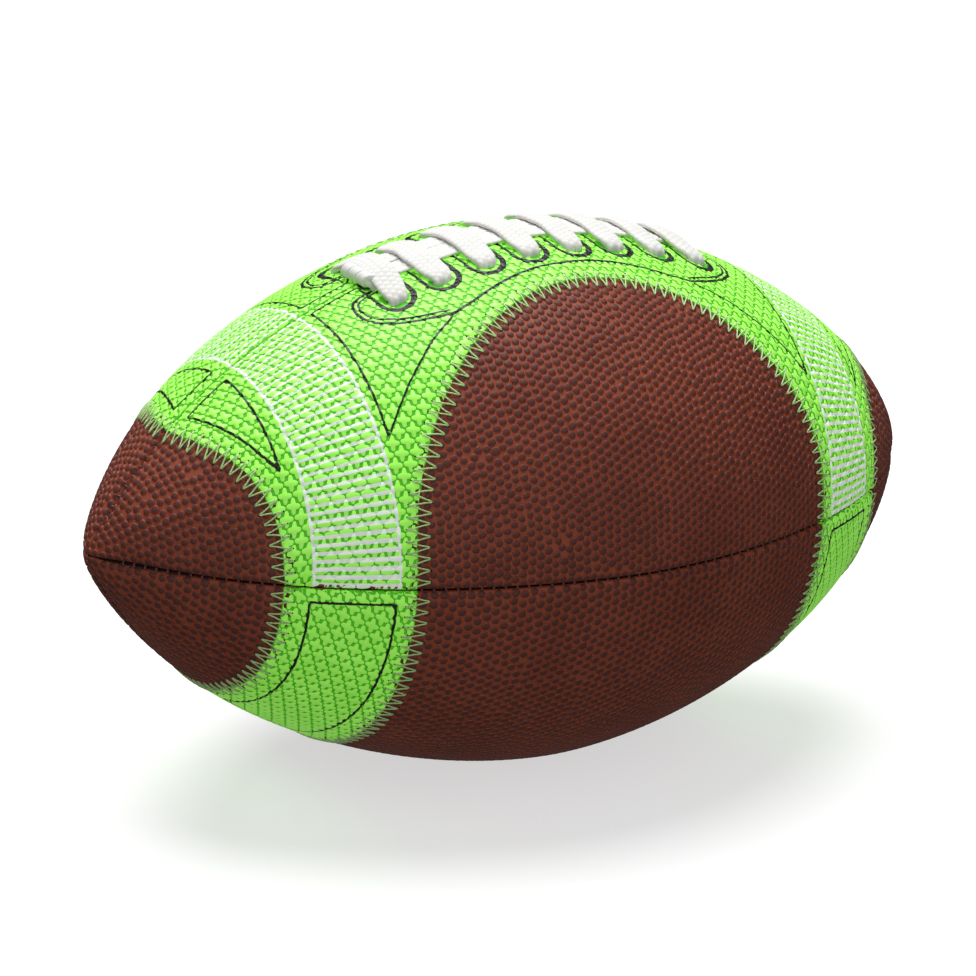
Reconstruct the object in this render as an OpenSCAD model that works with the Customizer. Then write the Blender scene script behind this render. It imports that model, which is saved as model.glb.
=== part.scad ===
// American football: four laced cover panels, their linings and grip overlays, over a valved bladder.
// The long axis lies along X, the laces are on top and the front panels face -Y.
// The ball stands on its belly at Z = 0, below the middle of its length.

/* [Ball] */
// Length from nose to nose
ball_length = 267; // [240:1:290]
// Diameter at the belly
belly_d = 152; // [136:1:172]

/* [Panels] */
// Thickness of a pebbled cover panel
cover_wall = 1.8; // [1.4:0.1:2.4]
// Thickness of the cloth lining bonded behind each cover
lining_wall = 1.0; // [0.6:0.1:1.4]
// How deep the sewn panel edges are turned in, from the outer surface
seam_turn_in = 5.0; // [4.5:0.1:7]
// Width of the groove along each seam
seam_groove_w = 1.4; // [0.8:0.1:2.4]
// Depth of the groove along each seam
seam_groove_depth = 0.8; // [0.4:0.1:1.2]

/* [Grip overlays] */
// Height of a grip overlay above the cover
grip_height = 0.7; // [0.4:0.1:1.2]
// Bare nose beyond a grip, measured along the ball at the side seam
nose_cap_side = 36; // [28:1:44]
// Bare nose beyond a grip, measured along the ball at the lace seam
nose_cap_lace = 23; // [18:1:30]
// Bare nose beyond a grip, measured along the ball at the bottom seam
nose_cap_bottom = 33.5; // [26:0.5:40]
// Width of a grip's stripe, measured along the ball at the side seam
stripe_w = 31; // [22:1:38]
// Grip between the lace seam and the bare window, over the surface
window_gap = 30.5; // [26:0.5:38]
// Height above the side seam at which the window starts to narrow
window_shoulder = 13; // [6:1:20]

/* [Lacing] */
// Number of crosses of the lace
lace_crosses = 8; // [6:1:8]
// Distance between neighbouring crosses
lace_pitch = 14.05; // [12.5:0.05:14.5]
// Distance between the two rows of lace holes, over the surface
lace_rows = 28.4; // [26:0.2:31]
// Width of the flat lace
lace_w = 6.2; // [5:0.1:6.6]
// Thickness of the flat lace
lace_t = 2.2; // [1.6:0.1:2.5]
// Diameter of a lace hole
lace_hole_d = 5.6; // [5.4:0.1:6.4]
// Gap left between the lace and what it passes
lace_gap = 0.5; // [0.45:0.01:0.55]
// How far the seam is left open past the first and last cross
opening_end = 13.825; // [12:0.025:16]
// Gap between the two panels along that opening
slit_w = 1.2; // [0.6:0.1:2]
// Thickness of the facing behind each row of holes
facing_wall = 1.2; // [0.8:0.1:1.6]
// Width of a facing, over the surface
facing_w = 21; // [18:0.5:24]
// Thickness of the guard that lies between lace and bladder
guard_wall = 1.2; // [0.8:0.1:1.8]
// Width of that guard
guard_w = 40; // [34:1:46]

/* [Bladder and valve] */
// Wall of the bladder
bladder_wall = 0.9; // [0.6:0.1:1.6]
// Diameter of the valve's stem
valve_stem_d = 8.4; // [7.4:0.1:10]
// Length of the valve's stem
valve_stem_l = 14; // [12:0.5:18]
// Diameter of the valve's bonding flange
valve_flange_d = 24; // [18:1:30]
// Thickness of the bonding flange
valve_flange_wall = 1.4; // [0.8:0.1:2]
// Diameter of the soft core plugged into the stem
valve_core_d = 5.0; // [4.2:0.1:5.8]
// Length of that core
valve_core_l = 9.5; // [7:0.5:10]
// Bore in the core that takes a pump's needle
needle_d = 2.2; // [1.8:0.1:2.6]
// How far the valve lies below the surface of the cover
valve_recess = 0.4; // [0.2:0.1:0.8]

/* [Hidden] */

// Shares that shape the outline: fullness of the belly, fullness of the nose and its trim
belly_fullness_share = 1.8;
nose_fullness_share = 0.655;
nose_trim_share = 0.23;
nose_trim_power_share = 8;
// Points along half an outline, and round a turn
outline_steps = 30;
$fn = 120;

half_length = ball_length / 2;
belly_r = belly_d / 2;
// Room past every solid that a cut runs
overrun = 2;
// Half of the gap between two sewn panels
seam_half = 0.1;

// Depths below the surface of the covers
lining_depth = cover_wall;
inner_depth = cover_wall + lining_wall;
facing_depth = inner_depth + facing_wall;
under_lace_depth = facing_depth + lace_gap + lace_t / 2;
guard_depth = under_lace_depth + lace_t / 2 + lace_gap;
pocket_depth = guard_depth + guard_wall;

// Size of the ball, seen from its middle, at a depth below the covers' surface
function fullness(u) =
    pow(max(0, 1 - pow(abs(u), belly_fullness_share)), nose_fullness_share)
    * (1 - nose_trim_share * pow(abs(u), nose_trim_power_share));
function ball_r(x, depth = 0) = (belly_r - depth) * fullness(x / (half_length - depth));

// Outline of a layer as [along the ball, out from its axis] points
function outline(depth) = [
    for (k = [-outline_steps : outline_steps])
        let (u = sin(90 * k / outline_steps))
        [(half_length - depth) * u, (belly_r - depth) * fullness(u)]
];
function reversed(list) = [for (k = [len(list) - 1 : -1 : 0]) list[k]];
function flipped(list) = [for (p = list) [p.y, p.x]];
// The part of an outline between two places along the ball
function outline_part(depth, from_x, to_x) = concat(
    [[from_x, lookup(from_x, outline(depth))]],
    [for (p = outline(depth)) if (p.x > from_x && p.x < to_x) p],
    [[to_x, lookup(to_x, outline(depth))]]
);

// A turned layer between two depths, about the X axis
module spun_layer(from_depth, to_depth) {
    rotate([90, 0, 90])
        rotate_extrude()
            polygon(concat(flipped(outline(from_depth)), flipped(reversed(outline(to_depth)))));
}
// The whole ball below one depth
module spun_solid(depth) {
    rotate([90, 0, 90])
        rotate_extrude()
            polygon(flipped(outline(depth)));
}
// An upright plate that follows the outline between two depths, thick from y = from_y to to_y
module upright_band(from_depth, to_depth, from_y, to_y) {
    translate([0, to_y, 0])
        rotate([90, 0, 0])
            linear_extrude(to_y - from_y)
                polygon(concat(outline(from_depth), reversed(outline(to_depth))));
}
module upright_band_part(from_depth, to_depth, from_y, to_y, from_x, to_x) {
    translate([0, to_y, 0])
        rotate([90, 0, 0])
            linear_extrude(to_y - from_y)
                polygon(concat(
                    outline_part(from_depth, from_x, to_x),
                    reversed(outline_part(to_depth, from_x, to_x))
                ));
}
// A flat plate of the same kind, on the front side, thick from z = from_z to to_z
module flat_band(from_depth, to_depth, from_z, to_z) {
    translate([0, 0, from_z])
        mirror([0, 1, 0])
            linear_extrude(to_z - from_z)
                polygon(concat(outline(from_depth), reversed(outline(to_depth))));
}
// The quarter of space of the top front panel, kept off the two seam planes
module quarter(off_lace_seam, off_side_seam) {
    translate([-ball_length, -ball_length - off_lace_seam, off_side_seam])
        cube([2 * ball_length, ball_length, ball_length]);
}
// A prism square to the middle of the top front panel, its outline in [along, towards the laces]
module square_to_panel(points) {
    rotate([45, 0, 0])
        linear_extrude(ball_length)
            polygon(points);
}
// What is drawn about the ball's middle, stood on the ground
module standing() {
    translate([0, 0, belly_r])
        children();
}

// Lace holes: places along the ball, and the turn from the lace seam to each row
first_cross_x = -lace_pitch * (lace_crosses - 1) / 2;
// Length of the seam that is left open under the lace
opening_length = 2 * (opening_end - first_cross_x);
function cross_x(k) = first_cross_x + k * lace_pitch;
function turn_at(x, arc) = arc / ball_r(x) * 180 / PI;
hole_arc = lace_rows / 2;
// The end eyelet, where the lace leaves its run below the first cross
eyelet_x = first_cross_x - lace_w / 8;
eyelet_arc = lace_hole_d / 2 - lace_gap;
eyelet_d = lace_hole_d + 2 * lace_gap;
hole_depth = pocket_depth + overrun;
module hole_at(x, arc, d) {
    rotate([turn_at(x, arc), 0, 0])
        translate([x, 0, ball_r(x) - hole_depth])
            cylinder(h = hole_depth + grip_height + overrun, d = d);
}
module lace_holes(d, with_eyelet) {
    for (k = [0 : lace_crosses - 1])
        hole_at(cross_x(k), hole_arc, d);
    if (with_eyelet)
        hole_at(eyelet_x, eyelet_arc, eyelet_d);
}
// The slit between the two top panels
module slit() {
    translate([-opening_length / 2, -slit_w / 2, 0])
        cube([opening_length, slit_w, ball_length]);
}
// What the rounded panel edges leave free along the two seams
module seam_grooves() {
    half_w = seam_groove_w / 2;
    upright_band(-grip_height - overrun, seam_groove_depth, -half_w, half_w);
    flat_band(-grip_height - overrun, seam_groove_depth, -half_w, half_w);
}
// The hole for the valve's stem, in the middle of a panel
module valve_hole(d) {
    rotate([45, 0, 0])
        translate([0, 0, belly_r - hole_depth])
            cylinder(h = hole_depth + overrun, d = d);
}

// Cover panel with its turned-in edges, drawn as the top front one
module cover_form(laced, with_eyelet, valved) {
    half_opening = opening_length / 2;
    root = cover_wall / 2;
    difference() {
        union() {
            intersection() {
                spun_layer(0, cover_wall);
                quarter(seam_half, seam_half);
            }
            intersection() {
                union() {
                    flat_band(root, seam_turn_in, seam_half, seam_half + cover_wall);
                    if (laced) {
                        edge_y = -seam_half - cover_wall;
                        upright_band(root, inner_depth, edge_y, -seam_half);
                        upright_band_part(root, seam_turn_in, edge_y, -seam_half,
                            -half_length + seam_turn_in, -half_opening);
                        upright_band_part(root, seam_turn_in, edge_y, -seam_half,
                            half_opening, half_length - seam_turn_in);
                    } else {
                        upright_band(root, seam_turn_in, -seam_half - cover_wall, -seam_half);
                    }
                }
                quarter(seam_half, seam_half);
            }
        }
        seam_grooves();
        if (laced) {
            slit();
            lace_holes(lace_hole_d, with_eyelet);
        }
        if (valved)
            valve_hole(valve_stem_d);
    }
}

// Lining, bonded behind the cover and turned in beside its edges
module lining_form(laced, with_eyelet, valved) {
    half_opening = opening_length / 2;
    root = cover_wall + lining_wall / 2;
    edge = seam_half + cover_wall;
    difference() {
        union() {
            intersection() {
                spun_layer(lining_depth, inner_depth);
                quarter(edge, edge);
            }
            intersection() {
                union() {
                    flat_band(root, seam_turn_in, edge, edge + lining_wall);
                    if (laced) {
                        upright_band_part(root, seam_turn_in, -edge - lining_wall, -edge,
                            -half_length + seam_turn_in, -half_opening);
                        upright_band_part(root, seam_turn_in, -edge - lining_wall, -edge,
                            half_opening, half_length - seam_turn_in);
                    } else {
                        upright_band(root, seam_turn_in, -edge - lining_wall, -edge);
                    }
                }
                quarter(edge, edge);
            }
        }
        if (laced)
            lace_holes(lace_hole_d, with_eyelet);
        if (valved)
            valve_hole(valve_stem_d);
    }
}

// Edges of the grips, as [along, towards the laces] points square to the panel.
// A turn of 0 is the lace or bottom seam and 90 is the side seam.
edge_turns = 18;
function towards_seam(x, turn) = ball_r(x) * sin(45 - turn);
function grip_end_x(turn, seam_cap) =
    half_length - nose_cap_side + (nose_cap_side - seam_cap) * pow(cos(turn), 3);
function grip_end(seam_cap, side) = [
    for (k = [0 : edge_turns])
        let (turn = 90 * k / edge_turns, x = grip_end_x(turn, seam_cap))
        [side * x, towards_seam(x, turn)]
];
window_x = half_length - nose_cap_side - stripe_w;
window_top_turn = window_gap / belly_r * 180 / PI;
window_foot_turn = 90 - window_shoulder / belly_r * 180 / PI;
window_steps = 36;
// The bare window: half an ellipse over the surface, with straight sides down to the side seam
function window_edge() = concat(
    [[-window_x, -ball_length]],
    [for (k = [0 : window_steps])
        let (
            along = 180 * k / window_steps,
            x = -window_x * cos(along),
            turn = window_foot_turn - (window_foot_turn - window_top_turn) * sin(along)
        )
        [x, towards_seam(x, turn)]],
    [[window_x, -ball_length]]
);
module grip_layer() {
    half_w = seam_groove_w / 2;
    intersection() {
        spun_layer(-grip_height, 0);
        quarter(half_w, half_w);
    }
}
// Saddle grip of a top panel, from nose to nose round the bare window
module top_grip_form(with_eyelet) {
    lace_end = half_length - nose_cap_lace;
    difference() {
        intersection() {
            grip_layer();
            square_to_panel(concat(
                [[-lace_end, ball_length]],
                grip_end(nose_cap_lace, -1),
                [[nose_cap_side - half_length, -ball_length], [half_length - nose_cap_side, -ball_length]],
                reversed(grip_end(nose_cap_lace, 1)),
                [[lace_end, ball_length]]
            ));
        }
        square_to_panel(window_edge());
        slit();
        lace_holes(lace_hole_d, with_eyelet);
    }
}
// Stripe grip of a bottom panel, drawn as the right one of the top front panel
module bottom_grip_form() {
    bottom_end = half_length - nose_cap_bottom;
    intersection() {
        grip_layer();
        square_to_panel(concat(
            [[window_x, ball_length], [window_x, -ball_length]],
            [[half_length - nose_cap_side, -ball_length]],
            reversed(grip_end(nose_cap_bottom, 1)),
            [[bottom_end, ball_length]]
        ));
    }
}

// A strip of a layer along the lace seam, from one arc to another over the belly, towards the front
module top_strip(from_depth, to_depth, length, from_arc, to_arc) {
    rotate([90, 0, 90])
        rotate_extrude(
            angle = (to_arc - from_arc) / belly_r * 180 / PI,
            start = 90 + from_arc / belly_r * 180 / PI
        )
            polygon(concat(
                flipped(outline_part(from_depth, -length / 2, length / 2)),
                flipped(reversed(outline_part(to_depth, -length / 2, length / 2)))
            ));
}
// Facing behind the row of lace holes, and the guard across both
facing_inset = lace_gap + slit_w / 2;
facing_edge = facing_inset + facing_w;
facing_l = opening_length - 2 * seam_groove_w;
guard_l = opening_length - seam_groove_w;
module facing_form(with_eyelet) {
    difference() {
        top_strip(inner_depth, facing_depth, facing_l, facing_inset, facing_edge);
        lace_holes(eyelet_d, with_eyelet);
    }
}
module guard_strip(from_depth, to_depth, grown) {
    half_w = guard_w / 2 + grown;
    top_strip(from_depth, to_depth, guard_l + 2 * grown, -half_w, half_w);
}

// The lace's route. A stop is [place, width direction, width, thickness]: x runs along the ball, arc
// from the lace seam towards the front and height out from the cover. Its lean gives the width direction
// as shares across the ball and along it.
function slope_at(x) = (ball_r(x + seam_half) - ball_r(x - seam_half)) / (2 * seam_half);
function on_ball(x, arc, height) =
    let (t = turn_at(x, arc), r = ball_r(x, -height))
    [x, -r * sin(t), r * cos(t)];
function across(x, arc) = let (t = turn_at(x, arc)) [0, -cos(t), -sin(t)];
function along(x, arc) = let (t = turn_at(x, arc), m = slope_at(x)) [1, -m * sin(t), m * cos(t)];
function stop(x, arc, height, lean, w, t) =
    [on_ball(x, arc, height), lean[0] * across(x, arc) + lean[1] * along(x, arc), w, t];
back_lean = [1, 0];
front_lean = [-1, 0];
cross_lean = [0, 1];

run_height = grip_height + lace_gap + lace_t / 2;
cross_height = run_height + lace_t + 1.25 * lace_gap;
run_arc = lace_w / 2 + lace_gap;
bunched_w = 0.68 * lace_w;
bunched_t = 1.15 * lace_t;

// Rolled end: three and a quarter turns about an axis across the ball, beside the first cross
roll_turns = 3.25;
roll_stops_a_turn = 8;
roll_w = 0.56 * lace_w;
roll_pitch = roll_w + 2.2 * lace_gap;
roll_r = lace_t * 0.7;
roll_x = first_cross_x - lace_w / 2 - lace_gap - roll_r - lace_t / 2;
roll_height = (run_height + roll_r) / cos(atan(slope_at(roll_x)));
roll_step = 360 / roll_stops_a_turn;
roll_stop_r = roll_r * 6 / (4 + 2 * cos(roll_step));
roll_last_arc = -run_arc;
roll_stops = [
    for (k = [roll_turns * roll_stops_a_turn : -1 : 0])
        let (
            turn = 270 - k * roll_step,
            arc = roll_last_arc + roll_pitch * k / roll_stops_a_turn,
            t = turn_at(roll_x, arc),
            r = ball_r(roll_x) + roll_height + roll_stop_r * sin(turn)
        )
        [[roll_x + roll_stop_r * cos(turn), -r * sin(t), r * cos(t)],
            across(roll_x, arc), roll_w, lace_t]
];

// The two runs along the seam, joined by a turn past the last cross
turn_x = -first_cross_x + lace_w / 2 + lace_gap;
run_steps = lace_crosses + 2;
run_from_x = roll_x + roll_r + lace_t;
run_step = (turn_x - run_from_x) / run_steps;
function run_w(k) = k == 0 ? roll_w : k == run_steps ? bunched_w : lace_w;
// The run leaves the roll a little aside, clear of the roll's last winding but one
function back_run_arc(k) = k == 0 ? -run_arc - 2 * lace_gap : -run_arc;
back_run = [
    for (k = [0 : run_steps])
        stop(run_from_x + k * run_step, back_run_arc(k), run_height, back_lean, run_w(k), lace_t)
];
turn_r = run_arc * 1.15;
end_turn = [
    for (a = [-60 : 30 : 60])
        stop(turn_x + turn_r * cos(a), turn_r * sin(a), run_height, [-sin(a), -cos(a)],
            bunched_w, lace_t)
];
front_run = [
    for (k = [run_steps : -1 : 2])
        stop(run_from_x + k * run_step, run_arc, run_height, front_lean, run_w(k), lace_t)
];
// Down through the end eyelet, with a quarter twist, and on to the first back hole
third_twisted = [-0.65, 0.35];
mostly_twisted = [-0.2, 0.8];
eased_w = 0.85 * lace_w;
dive = [
    stop(eyelet_x + lace_pitch / 2, run_arc - lace_gap, run_height, front_lean, eased_w, lace_t),
    stop(eyelet_x + lace_w / 2, eyelet_arc, run_height + lace_gap / 4, front_lean, bunched_w, lace_t),
    stop(eyelet_x, eyelet_arc, run_height - lace_gap, front_lean, bunched_w, lace_t),
    stop(eyelet_x, eyelet_arc, -cover_wall / 2, front_lean, bunched_w, lace_t),
    stop(eyelet_x, eyelet_arc, -inner_depth, third_twisted, bunched_w, lace_t),
    stop(eyelet_x, eyelet_arc, -facing_depth, mostly_twisted, bunched_w, lace_t),
    stop(eyelet_x, eyelet_arc - lace_gap, -under_lace_depth, cross_lean, bunched_w, lace_t),
    stop(eyelet_x, eyelet_arc - lace_w / 2, -under_lace_depth, cross_lean, bunched_w, lace_t),
    stop(eyelet_x, -hole_arc * 0.3, -under_lace_depth, cross_lean, bunched_w, lace_t),
    stop(first_cross_x, -hole_arc * 0.7, -under_lace_depth, cross_lean, bunched_w, lace_t)
];

// One cross: up through the back hole, over the two runs and down through the front hole
crest_shares = [0.62, 0.44, 0.15];
function cross_stops(k) =
    let (x = cross_x(k), shoulder = (run_height + cross_height) / 2 + 1.6 * lace_gap)
    [
        stop(x, -hole_arc, -under_lace_depth, cross_lean, bunched_w, bunched_t),
        stop(x, -hole_arc, -inner_depth, cross_lean, bunched_w, bunched_t),
        stop(x, -hole_arc, -cover_wall / 4, cross_lean, bunched_w, bunched_t),
        stop(x, -hole_arc * 0.97, run_height, cross_lean, eased_w, bunched_t),
        stop(x, -hole_arc * crest_shares[0], shoulder, cross_lean, lace_w, lace_t),
        stop(x, -hole_arc * crest_shares[1], cross_height, cross_lean, lace_w, lace_t),
        stop(x, -hole_arc * crest_shares[2], cross_height, cross_lean, lace_w, lace_t),
        stop(x, hole_arc * crest_shares[2], cross_height, cross_lean, lace_w, lace_t),
        stop(x, hole_arc * crest_shares[1], cross_height, cross_lean, lace_w, lace_t),
        stop(x, hole_arc * crest_shares[0], shoulder, cross_lean, lace_w, lace_t),
        stop(x, hole_arc * 0.97, run_height, cross_lean, eased_w, bunched_t),
        stop(x, hole_arc, -cover_wall / 4, cross_lean, bunched_w, bunched_t),
        stop(x, hole_arc, -inner_depth, cross_lean, bunched_w, bunched_t),
        stop(x, hole_arc, -under_lace_depth, cross_lean, bunched_w, bunched_t)
    ];
// From a front hole below the facings to the next back hole, or to the lace's loose end
under_shares = [0.82, 0.5, 0.18];
function under_stops(k) = [
    for (s = under_shares)
        stop(cross_x(k) + (1 - s) * lace_pitch, hole_arc * (2 * s - 1), -under_lace_depth, cross_lean,
            eased_w, lace_t)
];
tail_shares = [0.8, 0.5, 0.2];
tail = [
    for (s = tail_shares)
        stop(cross_x(lace_crosses - 1) + (1 - s) * lace_w, hole_arc * s, -under_lace_depth, cross_lean,
            eased_w, lace_t)
];
wraps = [
    for (k = [0 : lace_crosses - 1])
        each concat(cross_stops(k), k < lace_crosses - 1 ? under_stops(k) : tail)
];
route = concat(roll_stops, back_run, end_turn, front_run, dive, wraps);

// A smooth curve through the stops, as rings of the lace's flattened round section
ring_steps = 2;
function basis(f) = [
    pow(1 - f, 3) / 6,
    (3 * pow(f, 3) - 6 * pow(f, 2) + 4) / 6,
    (-3 * pow(f, 3) + 3 * pow(f, 2) + 3 * f + 1) / 6,
    pow(f, 3) / 6
];
function basis_slope(f) = [
    -pow(1 - f, 2) / 2,
    (3 * pow(f, 2) - 4 * f) / 2,
    (-3 * pow(f, 2) + 2 * f + 1) / 2,
    pow(f, 2) / 2
];
function blend(b, k, item) = b[0] * route[k][item] + b[1] * route[k + 1][item]
    + b[2] * route[k + 2][item] + b[3] * route[k + 3][item];
function unit(v) = v / norm(v);
section_shares = [
    [1, 0.4], [0.7, 1], [-0.7, 1], [-1, 0.4], [-1, -0.4], [-0.7, -1], [0.7, -1], [1, -0.4]
];
// The lace's frame there: its place, then its half width and half thickness as vectors
function lace_frame(k, f) =
    let (
        b = basis(f),
        way = unit(blend(basis_slope(f), k, 0)),
        lean = blend(b, k, 1),
        wide = unit(lean - (lean * way) * way)
    )
    [blend(b, k, 0), blend(b, k, 2) / 2 * wide, blend(b, k, 3) / 2 * cross(way, wide)];
lace_frames = [
    for (k = [0 : len(route) - 4], f = [0 : 1 / ring_steps : 1 - 1 / ring_steps])
        lace_frame(k, f)
];
function section(p) = [for (s = section_shares) s.x * p[1] + s.y * p[2]];
lace_rings = [for (p = lace_frames) [for (s = section(p)) p[0] + s]];
// Gap between two places on the lace, along the direction in which their sections lie farthest apart
function reach(p, way) = max([for (s = section(p)) s * way]);
function gap_between(p, q) = max([
    for (side = [p[1], p[2], cross(p[1], p[2]), q[1], q[2], cross(q[1], q[2]), p[0] - q[0]])
        let (way = unit(side))
        abs((q[0] - p[0]) * way) - reach(p, way) - reach(q, way)
]);
// Least gap between the lace and itself, for places at least half a rolled turn apart
function least_gap() = min([
    for (a = [0 : len(lace_frames) - 1], b = [a + roll_stops_a_turn : 1 : len(lace_frames) - 1])
        if (norm(lace_frames[a][0] - lace_frames[b][0]) < 2 * lace_w)
            gap_between(lace_frames[a], lace_frames[b])
]);
module swept(rings) {
    sides = len(rings[0]);
    last = len(rings) - 1;
    polyhedron(
        points = [for (r = rings) each r],
        faces = concat(
            [[for (s = [0 : sides - 1]) s]],
            [[for (s = [sides - 1 : -1 : 0]) last * sides + s]],
            [
                for (k = [0 : last - 1], s = [0 : sides - 1])
                    let (n = (s + 1) % sides, a = k * sides, b = a + sides)
                    each [[a + s, b + s, b + n], [a + s, b + n, a + n]]
            ]
        )
    );
}

// Bladder: a blown skin that is pressed in by the seam edges, the lace facings and the guard
module bladder_form(depth, press) {
    edge = seam_half + inner_depth + press;
    difference() {
        spun_solid(depth);
        for (turn = [0 : 90 : 270])
            rotate([turn, 0, 0])
                upright_band(-overrun, seam_turn_in + press, -edge, edge);
        guard_strip(-overrun, pocket_depth + press, press);
        top_strip(-overrun, facing_depth + press, facing_l + 2 * press,
            -facing_edge - press, facing_edge + press);
    }
}

module top_front_cover() {
    color("sienna")
        standing()
            cover_form(true, true, false);
}
module top_back_cover() {
    color("sienna")
        standing()
            mirror([0, 1, 0])
                cover_form(true, false, false);
}
module bottom_front_cover() {
    color("sienna")
        standing()
            mirror([0, 0, 1])
                cover_form(false, false, false);
}
module bottom_back_cover() {
    color("sienna")
        standing()
            mirror([0, 1, 0])
                mirror([0, 0, 1])
                    cover_form(false, false, true);
}
module top_front_lining() {
    color("wheat")
        standing()
            lining_form(true, true, false);
}
module top_back_lining() {
    color("wheat")
        standing()
            mirror([0, 1, 0])
                lining_form(true, false, false);
}
module bottom_front_lining() {
    color("wheat")
        standing()
            mirror([0, 0, 1])
                lining_form(false, false, false);
}
module bottom_back_lining() {
    color("wheat")
        standing()
            mirror([0, 1, 0])
                mirror([0, 0, 1])
                    lining_form(false, false, true);
}
module top_front_grip() {
    color("lime")
        standing()
            top_grip_form(true);
}
module top_back_grip() {
    color("lime")
        standing()
            mirror([0, 1, 0])
                top_grip_form(false);
}
module bottom_front_right_grip() {
    color("lime")
        standing()
            mirror([0, 0, 1])
                bottom_grip_form();
}
module bottom_front_left_grip() {
    color("lime")
        standing()
            mirror([1, 0, 0])
                mirror([0, 0, 1])
                    bottom_grip_form();
}
module bottom_back_right_grip() {
    color("lime")
        standing()
            mirror([0, 1, 0])
                mirror([0, 0, 1])
                    bottom_grip_form();
}
module bottom_back_left_grip() {
    color("lime")
        standing()
            mirror([1, 0, 0])
                mirror([0, 1, 0])
                    mirror([0, 0, 1])
                        bottom_grip_form();
}
module front_lace_facing() {
    color("dimgray")
        standing()
            facing_form(true);
}
module back_lace_facing() {
    color("dimgray")
        standing()
            mirror([0, 1, 0])
                facing_form(false);
}
module lace_guard() {
    color("gray")
        standing()
            guard_strip(guard_depth, pocket_depth, 0);
}
module lace() {
    echo(least_gap_of_the_lace = least_gap());
    color("white")
        standing()
            swept(lace_rings);
}
module bladder() {
    color("black")
        standing()
            difference() {
                bladder_form(inner_depth, 0);
                bladder_form(inner_depth + bladder_wall, bladder_wall);
                mirror([0, 1, 0])
                    mirror([0, 0, 1])
                        valve_hole(valve_stem_d);
            }
}
// Turns the valve's own axis, outwards along +Z, to the middle of the bottom back panel
module at_valve() {
    rotate([225, 0, 0])
        children();
}
module valve_housing() {
    top = belly_r - valve_recess;
    flange_depth = inner_depth + bladder_wall;
    color("black")
        standing()
            at_valve()
                difference() {
                    union() {
                        translate([0, 0, top - valve_stem_l])
                            cylinder(h = valve_stem_l, d = valve_stem_d);
                        intersection() {
                            rotate([-225, 0, 0])
                                spun_layer(flange_depth, flange_depth + valve_flange_wall);
                            cylinder(h = ball_length, d = valve_flange_d);
                        }
                    }
                    translate([0, 0, top - valve_core_l])
                        cylinder(h = valve_core_l + overrun, d = valve_core_d);
                    translate([0, 0, top - valve_stem_l - overrun])
                        cylinder(h = valve_stem_l, d = (needle_d + valve_core_d) / 2);
                }
}
module valve_core() {
    top = belly_r - valve_recess;
    color("dimgray")
        standing()
            at_valve()
                difference() {
                    translate([0, 0, top - valve_core_l])
                        cylinder(h = valve_core_l, d = valve_core_d);
                    translate([0, 0, top - valve_core_l - overrun])
                        cylinder(h = valve_core_l + 2 * overrun, d = needle_d);
                }
}

top_front_cover();
top_back_cover();
bottom_front_cover();
bottom_back_cover();
top_front_lining();
top_back_lining();
bottom_front_lining();
bottom_back_lining();
top_front_grip();
top_back_grip();
bottom_front_left_grip();
bottom_front_right_grip();
bottom_back_left_grip();
bottom_back_right_grip();
front_lace_facing();
back_lace_facing();
lace_guard();
lace();
bladder();
valve_housing();
valve_core();
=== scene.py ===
"""An american football, dressed around its packed solids: pebbled cover panels, raised grips with their
printed trim, the edge and seam stitching, the braided lace, and what the covers hold inside."""

import math
from functools import partial

import bmesh
import bpy
import numpy as np
from mathutils import Matrix, Vector
from mathutils.kdtree import KDTree


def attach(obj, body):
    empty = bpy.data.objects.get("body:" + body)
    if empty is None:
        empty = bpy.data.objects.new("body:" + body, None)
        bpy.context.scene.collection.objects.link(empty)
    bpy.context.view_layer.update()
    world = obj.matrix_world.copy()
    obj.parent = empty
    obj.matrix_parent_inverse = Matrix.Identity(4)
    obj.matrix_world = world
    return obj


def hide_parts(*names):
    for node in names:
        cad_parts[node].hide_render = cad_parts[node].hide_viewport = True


bl_info = {
    "name": "Football dressing",
    "version": (1, 0, 0),
    "blender": (4, 5, 0),
    "location": "3D View > Sidebar > Football",
    "description": "Builds the visible pieces of an american football around its solids",
    "category": "Object",
}

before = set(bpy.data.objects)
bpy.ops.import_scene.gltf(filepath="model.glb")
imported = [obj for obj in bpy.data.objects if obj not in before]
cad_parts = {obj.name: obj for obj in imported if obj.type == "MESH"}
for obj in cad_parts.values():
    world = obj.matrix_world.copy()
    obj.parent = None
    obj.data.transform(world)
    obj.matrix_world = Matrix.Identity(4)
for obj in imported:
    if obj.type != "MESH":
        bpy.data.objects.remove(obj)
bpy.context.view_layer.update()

MM = 0.001
BODY = "root"
QUARTER = math.pi / 2

# The ball's outline and the places of its parts, as in the solids. Lengths, arcs from the lace seam
# and depths below the outline are in mm, turns from the lace seam in radians.
HALF_LENGTH = 133.5
BELLY = 76.0
SKIN_WALL = 1.8
LINING_WALL = 1.0
SLIT_HALF = 0.6
SLIT_REACH = 56.0
SLIT_TAPER = 1.5
WINDOW_HALF = 66.5
WINDOW_TOP = 30.5 / BELLY
WINDOW_FOOT = QUARTER - 13.0 / BELLY
TOP_GRIP_REACH = 97.5
TOP_GRIP_FLARE = 13.0
BOTTOM_GRIP_FLARE = 2.5
FIRST_CROSS = -49.175
CROSS_PITCH = 14.05
CROSSES = 8
HOLE_ARC = 14.2
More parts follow.
